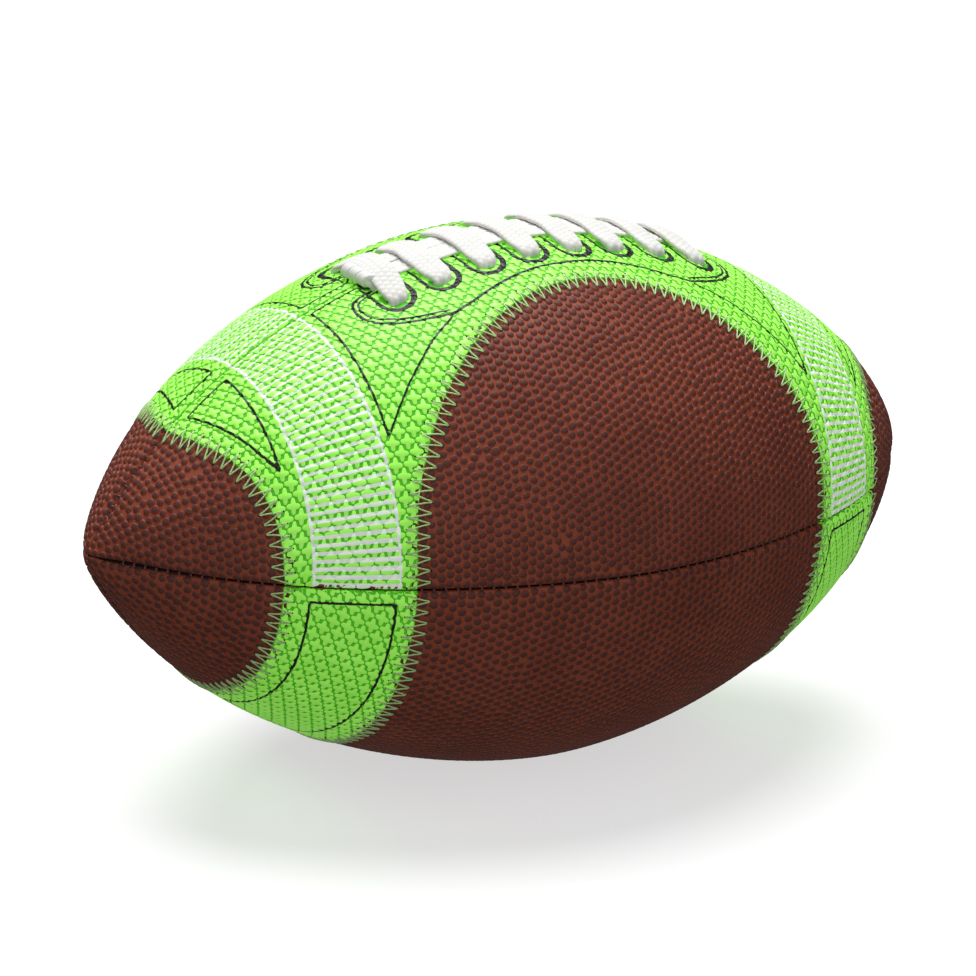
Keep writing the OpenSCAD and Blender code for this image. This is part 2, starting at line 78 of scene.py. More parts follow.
# Arc and radius of the holes on each side as the pulled lace leaves them
HOLE_OPEN = {"front": (14.6, 2.4), "back": (14.1, 2.3)}
EYELET_X, EYELET_ARC, EYELET_R = -49.95, 2.3, 3.3
INNER_DEPTH = SKIN_WALL + LINING_WALL
FACING_REACH = 61.6
FACING_FROM, FACING_TO = 1.1, 22.1
FACING_DEPTH = 4.0
GUARD_REACH = 62.3
GUARD_HALF = 20.0
GUARD_TOP, GUARD_DEPTH = 7.2, 8.4
BLADDER_WALL = 0.9
VALVE_R = 4.2
VALVE_TURN = QUARTER * 1.5

# The ground between the pebbles, below the outline (mm)
GROUND = -0.12

# How the panels' edges are turned into the seams (mm): half the gap, the roll down to it, the slot
# between the panels, and what is added to the gap and the roll at the noses
SEAM_GAP, NOSE_GAP = 0.36, 0.5
SEAM_ROLL, NOSE_ROLL = 0.45, 0.8
SEAM_REACH, NOSE_REACH = 2.6, 2.0
SLOT = 0.6
NOSE_FROM = 112.0
NOSE_SPAN = 18.0
NOSE_FADE = 13.0
DIMPLE_PITCH = 3.6
PUCKER, PUCKER_REACH = 0.8, 1.6


def linear(code):
    """An sRGB hex colour as linear RGBA."""
    shares = [int(code[i:i + 2], 16) / 255 for i in (1, 3, 5)]
    return tuple(c / 12.92 if c <= 0.04045 else ((c + 0.055) / 1.055) ** 2.4 for c in shares) + (1.0,)


def size(name, description, millimetres):
    return bpy.props.FloatProperty(name=name, description=description, default=millimetres * MM,
                                   min=0.0, unit="LENGTH", precision=5)


def strength(name, description, value):
    return bpy.props.FloatProperty(name=name, description=description, default=value, min=0.0)


def colour(name, description, code):
    return bpy.props.FloatVectorProperty(name=name, description=description, default=linear(code),
                                         size=4, min=0.0, max=1.0, subtype="COLOR")


class FootballCovers(bpy.types.PropertyGroup):
    """The pebbled composite leather."""
    pebble_pitch: size("Pebble pitch", "Distance from one pebble to the next", 2.62)
    low_pitch: size("Lower pitch", "The same on the two bottom panels", 2.84)
    pebble_width: size("Pebble width", "Width of a pebble at its foot", 2.55)
    pebble_rise: size("Pebble rise", "Height of a pebble above the ground between them", 0.45)
    seam_round: size("Seam rounding", "Radius that a panel's edge turns into the seam with", 0.6)
    crown: colour("Pebble crowns", "Dark print on the tops of the pebbles", "#613731")
    ground: colour("Leather ground", "Red brown of the ground and flanks", "#9c4f38")
    seed: bpy.props.IntProperty(name="Seed", description="Seed of the pebbles' places", default=7)


class FootballGrips(bpy.types.PropertyGroup):
    """The embossed grip film and its print."""
    film: size("Film", "Thickness of the grip between its crosses", 0.2)
    cross_rise: size("Cross rise", "Height of a cross above the film", 0.24)
    cross_reach: size("Cross reach", "From the middle of a cross to the tip of a short arm", 1.97)
    trim_width: size("Trim width", "Width of the printed black lines", 1.05)
    green: colour("Green", "Tops of the crosses", "#a4f860")
    deep_green: colour("Deep green", "Grooves between the crosses", "#4aae1a")
    ink: colour("Ink", "Black printed trim", "#0c0f0c")
    chalk: colour("Chalk", "White printed ladder", "#dfe4e0")


class FootballStitching(bpy.types.PropertyGroup):
    """The thread along the grips' edges and in the seams."""
    pitch: size("Zigzag pitch", "One zigzag stitch along a grip's edge", 3.15)
    thread: size("Thread", "Thickness of the thread", 0.48)
    seam_pitch: size("Seam pitch", "One stitch along a seam", 3.3)
    thread_colour: colour("Thread colour", "Zigzag thread", "#c8ee9e")
    seam_colour: colour("Seam colour", "Waxed seam thread", "#6b4038")
    # Painted shade: the dark discs set in the needle holes
    hole_shade_colour: colour("Needle holes", "Dark of the needle holes", "#152310")


class FootballLace(bpy.types.PropertyGroup):
    """The flat braided lace."""
    width: size("Lace width", "Width of the lace laid flat", 6.8)
    thickness: size("Lace thickness", "Thickness of the lace pulled tight", 1.35)
    plait: size("Plait", "Length of one plait of the braid", 1.9)
    plait_rise: size("Plait rise", "How far a plait stands out", 0.21)
    white: colour("White", "Polyester yarn", "#eeede9")


class FootballStage(bpy.types.PropertyGroup):
    """Floor, lights and camera."""
    floor: colour("Floor", "Pale floor", "#c2c2c2")
    glow: strength("Glow", "How brightly the floor is lit from below", 0.6)
    ambient: strength("Ambient", "Light from all sides", 0.1)
    fill: strength("Fill", "Strength of the broad fill from the front left", 0.637)
    key: strength("Key", "Strength of the broad lamp above", 3.53)
    key_width: bpy.props.FloatProperty(name="Key width", description="Angle that the lamp fills",
                                       default=math.radians(48), subtype="ANGLE")


# ---- the ball's skin -------------------------------------------------------------------------------

def fullness(share):
    """The ball's radius as a share of its belly's, at a share of its half length."""
    share = np.abs(share)
    return np.clip(1 - share ** 1.8, 0, 1) ** 0.655 * (1 - 0.23 * share ** 8)


def outline():
    """The outline from nose to nose: place on the axis, radius, length along the skin and normal."""
    share = np.sin(np.linspace(-QUARTER, QUARTER, 20001))
    x, r = HALF_LENGTH * share, BELLY * fullness(share)
    s = np.concatenate([[0], np.cumsum(np.hypot(np.diff(x), np.diff(r)))])
    s -= s[-1] / 2
    return x, r, s, -np.gradient(r, s), np.gradient(x, s)


SKIN_X, SKIN_R, SKIN_S, SKIN_NX, SKIN_NR = outline()
REACH = float(SKIN_S[-1])


def skin_s(x):
    return np.interp(x, SKIN_X, SKIN_S)


def skin_x(s):
    return np.interp(s, SKIN_S, SKIN_X)


def skin_r(s):
    return np.interp(s, SKIN_S, SKIN_R)


def on_skin(s, turn, height):
    """World points from the length along the skin, the turn from the lace seam and the height."""
    s, turn, height = np.broadcast_arrays(s, turn, height)
    x = skin_x(s) + height * np.interp(s, SKIN_S, SKIN_NX)
    r = skin_r(s) + height * np.interp(s, SKIN_S, SKIN_NR)
    return np.stack([x, -r * np.sin(turn), r * np.cos(turn) + BELLY], axis=-1) * MM


def off_skin(points):
    """Length along the skin and turn of world points close to the skin."""
    x, y, z = points.T / MM
    return skin_s(x), np.arctan2(-y, z - BELLY)


def rounded(distance, radius):
    """How far a rounded edge lies below its own face at a distance from its end."""
    inner = np.clip(radius - distance, 0, radius)
    return radius - np.sqrt(np.clip(radius ** 2 - inner ** 2, 0, None))


def seam_distance(s, turn):
    """Distance to the nearest of the four seams (mm)."""
    return np.abs((turn + QUARTER / 2) % QUARTER - QUARTER / 2) * skin_r(s)


def nose_share(s):
    """0 up to the caps, 1 at the noses."""
    return np.clip((np.abs(skin_x(s)) - NOSE_FROM) / NOSE_SPAN, 0, 1)


def nose_fade(s):
    """1 on the ball, down to almost 0 at the tips, where the seams meet."""
    return np.clip(skin_r(s) / NOSE_FADE, 0.02, 1)


def seam_gap(s):
    """Half of a seam's opening (mm)."""
    return (SEAM_GAP + NOSE_GAP * nose_share(s)) * nose_fade(s)


def at_lace_seam(turn):
    return np.abs((turn + math.pi) % math.tau - math.pi) < QUARTER / 2


def seam_drop(s, turn, radius):
    """How far the skin lies below the ball's outline: it rolls down to a seam, turns in over a
    rounded edge and meets the next panel in a slot. The slot opens towards the noses."""
    distance, gap = seam_distance(s, turn), seam_gap(s)
    nose, fade = nose_share(s), nose_fade(s)
    reach = (SEAM_REACH + NOSE_REACH * nose) * fade
    roll = (SEAM_ROLL + NOSE_ROLL * nose) * fade * np.clip(1 - distance / reach, 0, 1) ** 2
    slot = np.where(distance < gap, SLOT * fade, 0)
    # On the caps the stitches of the lace seam pull dimples into it
    dimple = 0.5 + 0.5 * np.cos(np.abs(s) * math.tau / DIMPLE_PITCH)
    pucker = at_lace_seam(turn) * nose * fade * dimple * PUCKER * np.exp(-(distance / PUCKER_REACH) ** 2)
    return roll + rounded(distance - gap, radius * fade) + slot + pucker


# ---- meshes ----------------------------------------------------------------------------------------

def move_to(mesh, points):
    mesh.vertices.foreach_set("co", np.ascontiguousarray(points, dtype=np.float32).ravel())
    mesh.update()


def points_of(mesh):
    flat = np.empty(len(mesh.vertices) * 3, dtype=np.float32)
    mesh.vertices.foreach_get("co", flat)
    return flat.reshape(-1, 3).astype(float)


def made_mesh(name, shape):
    mesh = bpy.data.meshes.new(name)
    shape.to_mesh(mesh)
    shape.free()
    return mesh


def sheet(name, columns, rows, place):
    """A closed sheet on the ball: a grid extruded once, its points placed by place(u, v, outer)."""
    shape = bmesh.new()
    bmesh.ops.create_grid(shape, x_segments=columns, y_segments=rows, size=0.5)
    bmesh.ops.translate(shape, verts=shape.verts[:], vec=(0.5, 0.5, 0.0))
    raised = bmesh.ops.extrude_face_region(shape, geom=shape.faces[:], use_keep_orig=True)
    outer = [v for v in raised["geom"] if isinstance(v, bmesh.types.BMVert)]
    bmesh.ops.translate(shape, verts=outer, vec=(0.0, 0.0, 1.0))
    bmesh.ops.recalc_face_normals(shape, faces=shape.faces[:])
    flat = np.array([v.co[:] for v in shape.verts])
    for vert, point in zip(shape.verts, place(flat[:, 0], flat[:, 1], flat[:, 2] > 0.5)):
        vert.co = point
    bmesh.ops.remove_doubles(shape, verts=shape.verts[:], dist=2e-7)
    return made_mesh(name, shape)


def template(shape):
    """The shape as a mesh, and its points."""
    mesh = made_mesh("template", shape)
    return mesh, points_of(mesh)


def stamped(name, single, copies):
    """A closed mesh repeated: copy number c holds the vertices from c times the single's count on."""
    shape = bmesh.new()
    shape.from_mesh(single)
    verts, faces = len(shape.verts), len(shape.faces)
    made = 1
    while made < copies:
        more = min(made, copies - made)
        bmesh.ops.duplicate(shape, geom=shape.verts[:more * verts] + shape.faces[:more * faces])
        made += more
    return made_mesh(name, shape)


def joined(name, meshes):
    shape = bmesh.new()
    for mesh in meshes:
        shape.from_mesh(mesh)
    return made_mesh(name, shape)


def tube(rings):
    """A tube through rings of points: a grid wrapped round them, not yet welded or capped."""
    count, sides = rings.shape[:2]
    shape = bmesh.new()
    bmesh.ops.create_grid(shape, x_segments=count - 1, y_segments=sides, size=0.5)
    wrapped = np.concatenate([rings, rings[:, :1]], axis=1).transpose(1, 0, 2).reshape(-1, 3)
    for vert, point in zip(shape.verts, wrapped):
        vert.co = point
    return shape


def closed_tube(shape, weld):
    bmesh.ops.remove_doubles(shape, verts=shape.verts[:], dist=weld)
    bmesh.ops.holes_fill(shape, edges=[e for e in shape.edges if e.is_boundary], sides=0)
    bmesh.ops.recalc_face_normals(shape, faces=shape.faces[:])
    return shape


def cut(mesh, cutters):
    """The mesh with the cutters' volumes taken out."""
    body = bpy.data.objects.new("cut_body", mesh)
    tool = bpy.data.objects.new("cut_tool", cutters)
    for item in (body, tool):
        bpy.context.scene.collection.objects.link(item)
    holes = body.modifiers.new("Holes", "BOOLEAN")
    holes.operation, holes.solver, holes.object = "DIFFERENCE", "EXACT", tool
    graph = bpy.context.evaluated_depsgraph_get()
    result = bpy.data.meshes.new_from_object(body.evaluated_get(graph))
    bpy.data.objects.remove(body)
    bpy.data.objects.remove(tool)
    result.name = mesh.name
    return result


def give(mesh, name, values):
    layer = mesh.attributes.new(name, "FLOAT", "POINT")
    layer.data.foreach_set("value", np.ascontiguousarray(values, dtype=np.float32))


def piece(name, mesh, material, slot, *nodes):
    """One finished piece: smooth, with its material, riding on the ball and standing for CAD nodes."""
    mesh.name = name
    mesh.shade_smooth()
    mesh.materials.clear()
    mesh.materials.append(material)
    item = bpy.data.objects.new(name, mesh)
    bpy.context.scene.collection.objects.link(item)
    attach(item, BODY)
    if nodes:
        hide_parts(*nodes)
    return item


def turned_round(mesh):
    """The same piece for the other side of the ball: turned half round about the upright axis."""
    other = mesh.copy()
    other.transform(Matrix.Rotation(math.pi, 4, "Z"))
    return other


# ---- materials -------------------------------------------------------------------------------------

def add_node(tree, kind, inputs=None, **settings):
    """Adds one node with its settings, its inputs given as values or as sockets to link."""
    node = tree.nodes.new(kind)
    for name, value in settings.items():
        setattr(node, name, value)
    for key, value in (inputs or {}).items():
        if isinstance(value, bpy.types.NodeSocket):
            tree.links.new(value, node.inputs[key])
        else:
            node.inputs[key].default_value = value
    return node


def pattern_scale(millimetres):
    """The scale of a pattern on Object coordinates whose features are this wide."""
    return 1 / (millimetres * MM)


def new_material(name, **values):
    material = bpy.data.materials.new(name)
    material.use_nodes = True
    tree = material.node_tree
    shader = tree.nodes["Principled BSDF"]
    for key, value in values.items():
        shader.inputs[key.replace("_", " ")].default_value = value
    place = add_node(tree, "ShaderNodeTexCoord").outputs["Object"]
    return material, tree, shader, place


def math_node(tree, operation, *values):
    node = add_node(tree, "ShaderNodeMath", dict(enumerate(values)), operation=operation)
    return node.outputs[0]


def shade(tone, share):
    """A colour with a share of its light."""
    return tuple(c * share for c in tone[:3]) + (1.0,)


def blended(tree, factor, first, second):
    node = add_node(tree, "ShaderNodeMix", {0: factor, 6: first, 7: second}, data_type="RGBA")
    return node.outputs[2]


def attribute(tree, name):
    return add_node(tree, "ShaderNodeAttribute", attribute_name=name).outputs["Fac"]


def stepped(tree, value, low, high):
    """0 below low, 1 above high, smooth between."""
    node = add_node(tree, "ShaderNodeMapRange", {0: value, 1: low, 2: high, 3: 0.0, 4: 1.0},
                    interpolation_type="SMOOTHSTEP")
    return node.outputs[0]


def noise(tree, place, millimetres, detail=2.0, rough=0.5):
    node = add_node(tree, "ShaderNodeTexNoise", {"Vector": place, "Scale": pattern_scale(millimetres),
                                                 "Detail": detail, "Roughness": rough})
    return node.outputs["Fac"]


def bumped(tree, shader, height, millimetres, strength=1.0):
    bump = add_node(tree, "ShaderNodeBump", {"Height": height, "Distance": millimetres * MM,
                                             "Strength": strength})
    tree.links.new(bump.outputs["Normal"], shader.inputs["Normal"])


def leather_material(covers):
    # Composite leather: polyurethane embossed with pebbles by a hot roll, dark print wiped on the crowns.
    # The crowns read as near black discs with a crisp edge, the ground as red brown with a soft gloss.
    material, tree, shader, place = new_material("embossed_composite_leather", Roughness=0.55,
                                                 Specular_IOR_Level=0.25)
    mottle = noise(tree, place, 24.0, 3.0)
    wear = noise(tree, place, 1.1, 2.0)
    crown = math_node(tree, "ADD", attribute(tree, "crown"),
                      math_node(tree, "MULTIPLY", math_node(tree, "SUBTRACT", wear, 0.5), 0.35))
    ground = blended(tree, stepped(tree, mottle, 0.35, 0.7), covers.ground, linear("#914731"))
    top = blended(tree, stepped(tree, mottle, 0.3, 0.75), covers.crown, linear("#5a322d"))
    skin = blended(tree, stepped(tree, crown, 0.42, 0.62), ground, top)
    # Painted shade: the seams' slots, marked below zero, are painted near black
    tree.links.new(blended(tree, stepped(tree, crown, -0.25, -0.7), skin, linear("#1a0e0a")),
                   shader.inputs["Base Color"])
    tree.links.new(math_node(tree, "MULTIPLY_ADD", wear, 0.16, 0.44), shader.inputs["Roughness"])
    # Fine grain of the hot roll, 0.3 mm
    bumped(tree, shader, noise(tree, place, 0.3, 2.0), 0.03, 0.6)
    return material


# Half of the soft edge of a printed line, and half of the ladder's width between its rails (mm)
PRINT_EDGE = 0.12
LADDER_HALF = 10.0


def grip_material(grips):
    # Polyurethane film embossed with crosses: fluorescent green, matt in the grooves, printed over.
    # The film and its print glow faintly: painted light that brightens the green evenly, also where the
    # lamps leave it in shade.
    material, tree, shader, place = new_material("embossed_fluorescent_film_painted_glow", Specular_IOR_Level=0.4,
                                                 Emission_Strength=0.33)
    crown = attribute(tree, "crown")
    tint = noise(tree, place, 9.0, 2.0)
    top = blended(tree, stepped(tree, tint, 0.3, 0.7), grips.green, linear("#99ef54"))
    green = blended(tree, stepped(tree, crown, 0.3, 0.75), grips.deep_green, top)
    plus, minus, times, most, plain = (partial(math_node, tree, kind) for kind in
                                       ("ADD", "SUBTRACT", "MULTIPLY", "MAXIMUM", "ABSOLUTE"))
    # The lines waver by up to 0.25 mm either way, as print on a bumpy film does
    waver = times(minus(noise(tree, place, 1.3, 1.0), 0.5), 0.5)
    half_line = grips.trim_width / MM / 2

    def line(distance, half):
        return stepped(tree, plain(plus(distance, waver)), half + PRINT_EDGE, half - PRINT_EDGE)

    def area(distance):
        return stepped(tree, plus(distance, waver), -PRINT_EDGE, PRINT_EDGE)

    plate = attribute(tree, "plate")
    second = times(line(plus(plate, -1.5), half_line * 0.7), attribute(tree, "double_line"))
    loops = times(area(attribute(tree, "loop_out")), minus(1.0, area(attribute(tree, "loop_in"))))
    figures = times(line(attribute(tree, "figures"), half_line * 0.7), stepped(tree, plate, 0.5, -0.5))
    ink = most(most(line(plate, half_line * 0.9), second), most(loops, figures))
    across = plain(attribute(tree, "rail"))
    rails = line(minus(across, LADDER_HALF), 0.33)
    within = stepped(tree, across, LADDER_HALF + 0.1, LADDER_HALF - 0.1)
    to_rung = plain(minus(math_node(tree, "FRACT", attribute(tree, "rung")), 0.5))
    wavy = math_node(tree, "MULTIPLY_ADD", waver, 0.25, to_rung)
    rungs = stepped(tree, minus(wavy, attribute(tree, "rung_half")), 0.04, -0.04)
    ladder = times(most(rails, times(rungs, within)), attribute(tree, "ladder"))
    # The print misses the deepest grooves
    ladder = times(ladder, stepped(tree, crown, -0.6, 0.25))
    printed = blended(tree, ladder, green, grips.chalk)
    printed = blended(tree, ink, printed, grips.ink)
    tree.links.new(printed, shader.inputs["Base Color"])
    # Painted light: the print's own colours as a glow
    tree.links.new(printed, shader.inputs["Emission Color"])
    tree.links.new(math_node(tree, "MULTIPLY_ADD", crown, -0.12, 0.52), shader.inputs["Roughness"])
    # Fine pores of the film, 0.25 mm
    bumped(tree, shader, noise(tree, place, 0.25, 2.0), 0.02, 0.5)
    return material


def thread_material(name, tone, twist_mm=0.5):
    # Bonded polyester sewing thread: twisted plies and a slight gloss, with painted shade darkening the
    # gaps between the plies.
    material, tree, shader, place = new_material(name, Roughness=0.55, Sheen_Weight=0.2)
    plies = noise(tree, place, twist_mm, 1.0)
    tree.links.new(blended(tree, stepped(tree, plies, 0.35, 0.6), shade(tone, 0.72), tuple(tone)),
                   shader.inputs["Base Color"])
    bumped(tree, shader, plies, 0.08)
    return material


def hole_shade_material(tone):
    # Needle holes: dark discs painted as the shade inside the holes, where the film is pushed in and down,
    # mottled at random.
    material, tree, shader, place = new_material("painted_needle_hole_shade", Roughness=0.9)
    shade_mottle = noise(tree, place, 0.6, 1.0)
    tree.links.new(blended(tree, shade_mottle, shade(tone, 0.6), tuple(tone)), shader.inputs["Base Color"])
    return material


def lace_material(lace):
    # Flat braided polyester lace: bright white yarn, soft and matt, with painted shade, a grey, in the low
    # gaps of its relief.
    material, tree, shader, place = new_material("braided_white_polyester", Roughness=0.82,
                                                 Sheen_Weight=0.25, Sheen_Roughness=0.5,
                                                 Subsurface_Weight=0.12, Subsurface_Scale=0.002)
    # Painted shade: the white turns grey where the plaits' relief is low
    plait = stepped(tree, attribute(tree, "plait"), -0.1, 0.5)
    tree.links.new(blended(tree, plait, shade(lace.white, 0.84), tuple(lace.white)),
                   shader.inputs["Base Color"])
    # Yarns of the braid, about 0.35 mm each
    bumped(tree, shader, noise(tree, place, 0.35, 2.0, 0.6), 0.05, 0.7)
    return material


def cloth_material(name, tone, thread_mm):
    # Plain woven cotton duck: warp and weft seen as a fine check, with painted shade darkening the gaps
    # between the threads.
    material, tree, shader, place = new_material(name, Roughness=0.9, Sheen_Weight=0.15)
    waves = {"Vector": place, "Scale": pattern_scale(thread_mm) / math.tau, "Distortion": 0.6}
    warp, weft = (add_node(tree, "ShaderNodeTexWave", waves, bands_direction=way).outputs["Fac"]
                  for way in ("X", "Z"))
    weave = math_node(tree, "MULTIPLY", warp, weft)
    tree.links.new(blended(tree, stepped(tree, weave, 0.0, 0.5), shade(tone, 0.6), tone),
                   shader.inputs["Base Color"])
    bumped(tree, shader, weave, 0.15)
    return material


def rubber_material(name, tone, gloss):
    # Moulded butyl rubber: nearly black, dull, with a bloom of talc and faint flow marks.
    material, tree, shader, place = new_material(name, Roughness=gloss, Specular_IOR_Level=0.4)
    bloom = noise(tree, place, 6.0, 4.0, 0.6)
    pale = tuple(min(1.0, c * 1.8 + 0.01) for c in tone[:3]) + (1.0,)
    tree.links.new(blended(tree, stepped(tree, bloom, 0.45, 0.8), tone, pale), shader.inputs["Base Color"])
    bumped(tree, shader, noise(tree, place, 0.4, 2.0), 0.03, 0.5)
    return material


def floor_material(tone, glow):
    # Matt studio paper on a light table.
    material, tree, shader, place = new_material("studio_paper", Roughness=0.95, Specular_IOR_Level=0.1,
                                                 Emission_Color=(1.0, 1.0, 1.0, 1.0),
                                                 Emission_Strength=glow)
    grain = noise(tree, place, 4.0, 2.0)
    tree.links.new(blended(tree, grain, shade(tone, 0.985), tuple(tone)), shader.inputs["Base Color"])
    return material


# ---- cover panels ----------------------------------------------------------------------------------

# Distances from an edge that the rows of a sheet crowd at (mm)
ROWS_NEAR_SEAM = (0.0, 0.28, 0.36, 0.42, 0.52, 0.68, 0.95, 1.4, 2.0, 2.8)
ROWS_NEAR_EDGE = (0.0, 0.07, 0.22, 0.4, 0.7, 1.1, 1.8, 2.8)


def crowded(share, rows, length, near):
    """Distance from the first edge for evenly numbered rows that crowd at both edges."""
    near = np.array(near)
    last = len(near) - 1
    row, other = share * rows, (1 - share) * rows
    squeeze = np.minimum(1, length / (4 * near[-1]))
    edge = near[-1] * squeeze
    middle = edge + (length - 2 * edge) * (row - last) / (rows - 2 * last)
    low = np.interp(row, np.arange(last + 1), near) * squeeze
    high = length - np.interp(other, np.arange(last + 1), near) * squeeze
    return np.where(row <= last, low, np.where(other <= last, high, middle))


def slit_share(x):
    """1 along the slit under the lace, 0 beyond its ends."""
    return np.clip((SLIT_REACH - np.abs(x)) / SLIT_TAPER, 0, 1)


def panel_sheet(name, from_turn, outer, inner, seam_round, gap=0.03, rows=62, columns=144):
    """A quarter of the ball's skin between two heights, its edges turned into the seams."""
    def place(u, v, is_outer):
        s = (2 * u - 1) * REACH
        r = skin_r(s)
        slit = slit_share(skin_x(s)) * max(SLIT_HALF - gap, 0)
        # At the tips the gaps close with the radius
        widest = r * 0.2
        start = np.minimum(gap + (slit if from_turn == 0 else 0), widest)
        end = np.minimum(gap, widest)
        length = np.maximum(r * QUARTER - start - end, 0)
        arc = start + crowded(1 - v, rows, length, ROWS_NEAR_SEAM)
        turn = np.clip(from_turn + arc / np.maximum(r, 1e-6), from_turn, from_turn + QUARTER)
        depth = -outer + (seam_drop(s, turn, seam_round) if seam_round else 0)
        # No slot goes through the sheet, whose turned edge keeps 0.3 mm
        depth = np.minimum(depth, -inner - 0.1)
        return on_skin(s, turn, np.where(is_outer, -depth, -np.maximum(-inner, depth + 0.3)))

    return sheet(name, columns, rows, place)


def top_grip_edge(turn):
    """Where a top grip ends along the axis (mm): further out by the laces than at the side seam."""
    return TOP_GRIP_REACH + TOP_GRIP_FLARE * np.cos(turn) ** 3


def bottom_grip_edge(turn):
    """Where the stripes of a bottom panel end along the axis (mm)."""
    return TOP_GRIP_REACH + BOTTOM_GRIP_FLARE * np.cos(math.pi - turn) ** 3


def kept_on_top(x, turn, margin, seam_margin):
    """Places off the top grip moved to its edge, the margins (mm) inside it."""
    r = skin_r(skin_s(x))
    turn = np.clip(turn, seam_margin / r, QUARTER - seam_margin / r)
    edge = top_grip_edge(turn) - margin
    x = np.clip(x, -edge, edge)
    half, rise = WINDOW_HALF + margin, WINDOW_FOOT - WINDOW_TOP + margin / BELLY
    foot = turn > WINDOW_FOOT
    x = np.where(foot & (np.abs(x) < half), np.where(x < 0, -half, half), x)
    across, up = x / half, (WINDOW_FOOT - turn) / rise
    span = np.maximum(np.hypot(across, up), 1e-6)
    inside = ~foot & (span < 1)
    return np.where(inside, x / span, x), np.where(inside, WINDOW_FOOT - up / span * rise, turn)


def kept_on_bottom(side):
    """The same for the stripe at one end of a bottom panel."""
    def kept(x, turn, margin, seam_margin):
        r = skin_r(skin_s(x))
        turn = np.clip(turn, QUARTER + seam_margin / r, math.pi - seam_margin / r)
        return side * np.clip(side * x, WINDOW_HALF + margin, bottom_grip_edge(turn) - margin), turn
    return kept


def moved(x, turn, kept):
    """How far (mm) a place is from where the grip's edge would keep it."""
    new_x, new_turn = kept(x, turn, 0.0, 0.0)
    return np.hypot(skin_s(new_x) - skin_s(x), (new_turn - turn) * skin_r(skin_s(x)))


# How far the pebbles go on under a grip's edge (mm)
UNDER_EDGE = 1.3


def under_grip(from_turn, s, turn):
    """True where a grip hides the leather, clear of its edges."""
    x = skin_x(s)
    keeps = [kept_on_top] if from_turn == 0 else [kept_on_bottom(-1), kept_on_bottom(1)]
    hidden = np.zeros(len(s), bool)
    for kept in keeps:
        new_x, new_turn = kept(x, turn, UNDER_EDGE, 0.0)
        hidden |= (np.abs(new_x - x) < 1e-3) & (np.abs(new_turn - turn) < 1e-5)
    return hidden


# How the pebbles are strewn: a staggered lattice, jittered, then pushed apart round by round
# (shares of the pitch), clear of the tips and the seams (mm)
LATTICE_SHARE = 0.866
JITTER_SHARE = 0.18
CROWDED_SHARE = 1.02
PUSH_SHARE = 0.3
PUSH_ROUNDS = 8
FIRST_COLUMN = 1.6
TIP_CLEAR = 1.3
SEAM_CLEAR = 1.25


def pebble_places(from_turn, pitch, seed, clear):
    """Even but unruly places of the pebbles of one panel, clear of the valve (mm)."""
    draw = np.random.default_rng(seed)
    s, turn = [], []
    end = REACH - FIRST_COLUMN
    for k, column in enumerate(np.arange(-end, end, pitch * LATTICE_SHARE)):
        r = skin_r(column)
        count = max(1, int(round(r * QUARTER / pitch)))
        s.append(np.full(count, column))
        turn.append(from_turn + (np.arange(count) + (0.25, 0.75)[k % 2]) / count * QUARTER)
    s, turn = np.concatenate(s), np.concatenate(turn)
    keep = ~under_grip(from_turn, s, turn)
    s, turn = s[keep], turn[keep]
    s = s + draw.normal(0, JITTER_SHARE * pitch, len(s))
    turn = turn + draw.normal(0, JITTER_SHARE * pitch, len(s)) / skin_r(s)
    for _ in range(PUSH_ROUNDS):
        points = on_skin(s, turn, 0.0) / MM
        tree = KDTree(len(points))
        for i, point in enumerate(points):
            tree.insert(point, i)
        tree.balance()
        near = np.array([[hit[1] for hit in tree.find_n(point, 7)] for point in points])
        away = points[:, None] - points[near]
        far = np.linalg.norm(away, axis=2)
        push = np.clip(pitch * CROWDED_SHARE - far, 0, None) * (far > 1e-6)
        push = (away / np.maximum(far, 1e-6)[..., None] * push[..., None] * PUSH_SHARE).sum(axis=1)
        nx, nr = np.interp(s, SKIN_S, SKIN_NX), np.interp(s, SKIN_S, SKIN_NR)
        along = np.stack([nr, nx * np.sin(turn), -nx * np.cos(turn)], axis=1)
        about = np.stack([np.zeros(len(s)), -np.cos(turn), -np.sin(turn)], axis=1)
        s = np.clip(s + (push * along).sum(axis=1), -REACH + TIP_CLEAR, REACH - TIP_CLEAR)
        r = skin_r(s)
        turn = turn + (push * about).sum(axis=1) / r
        edge = np.minimum(SEAM_CLEAR / r, QUARTER / 3)
        turn = np.clip(turn, from_turn + edge, from_turn + QUARTER - edge)
    if clear:
        far = np.hypot(s, (turn - VALVE_TURN) * BELLY) > clear
        s, turn = s[far], turn[far]
    return s, turn


def pebble_shape():
    """One pebble: a flared foot, a flank and a low crown, foot radius 1 and rise 1."""
    shape = bmesh.new()
    bmesh.ops.create_cone(shape, cap_ends=True, segments=9, radius1=1.0, radius2=0.76, depth=1.12)
    bmesh.ops.translate(shape, verts=shape.verts[:], vec=(0, 0, 0.16))
    shape.faces.ensure_lookup_table()
    top = [f for f in shape.faces if f.normal.z > 0.9]
    bmesh.ops.inset_region(shape, faces=top, thickness=0.15, depth=0.23)
    top = [f for f in shape.faces if f.normal.z > 0.9 and len(f.verts) > 4]
    bmesh.ops.poke(shape, faces=top, offset=0.08)
    return shape


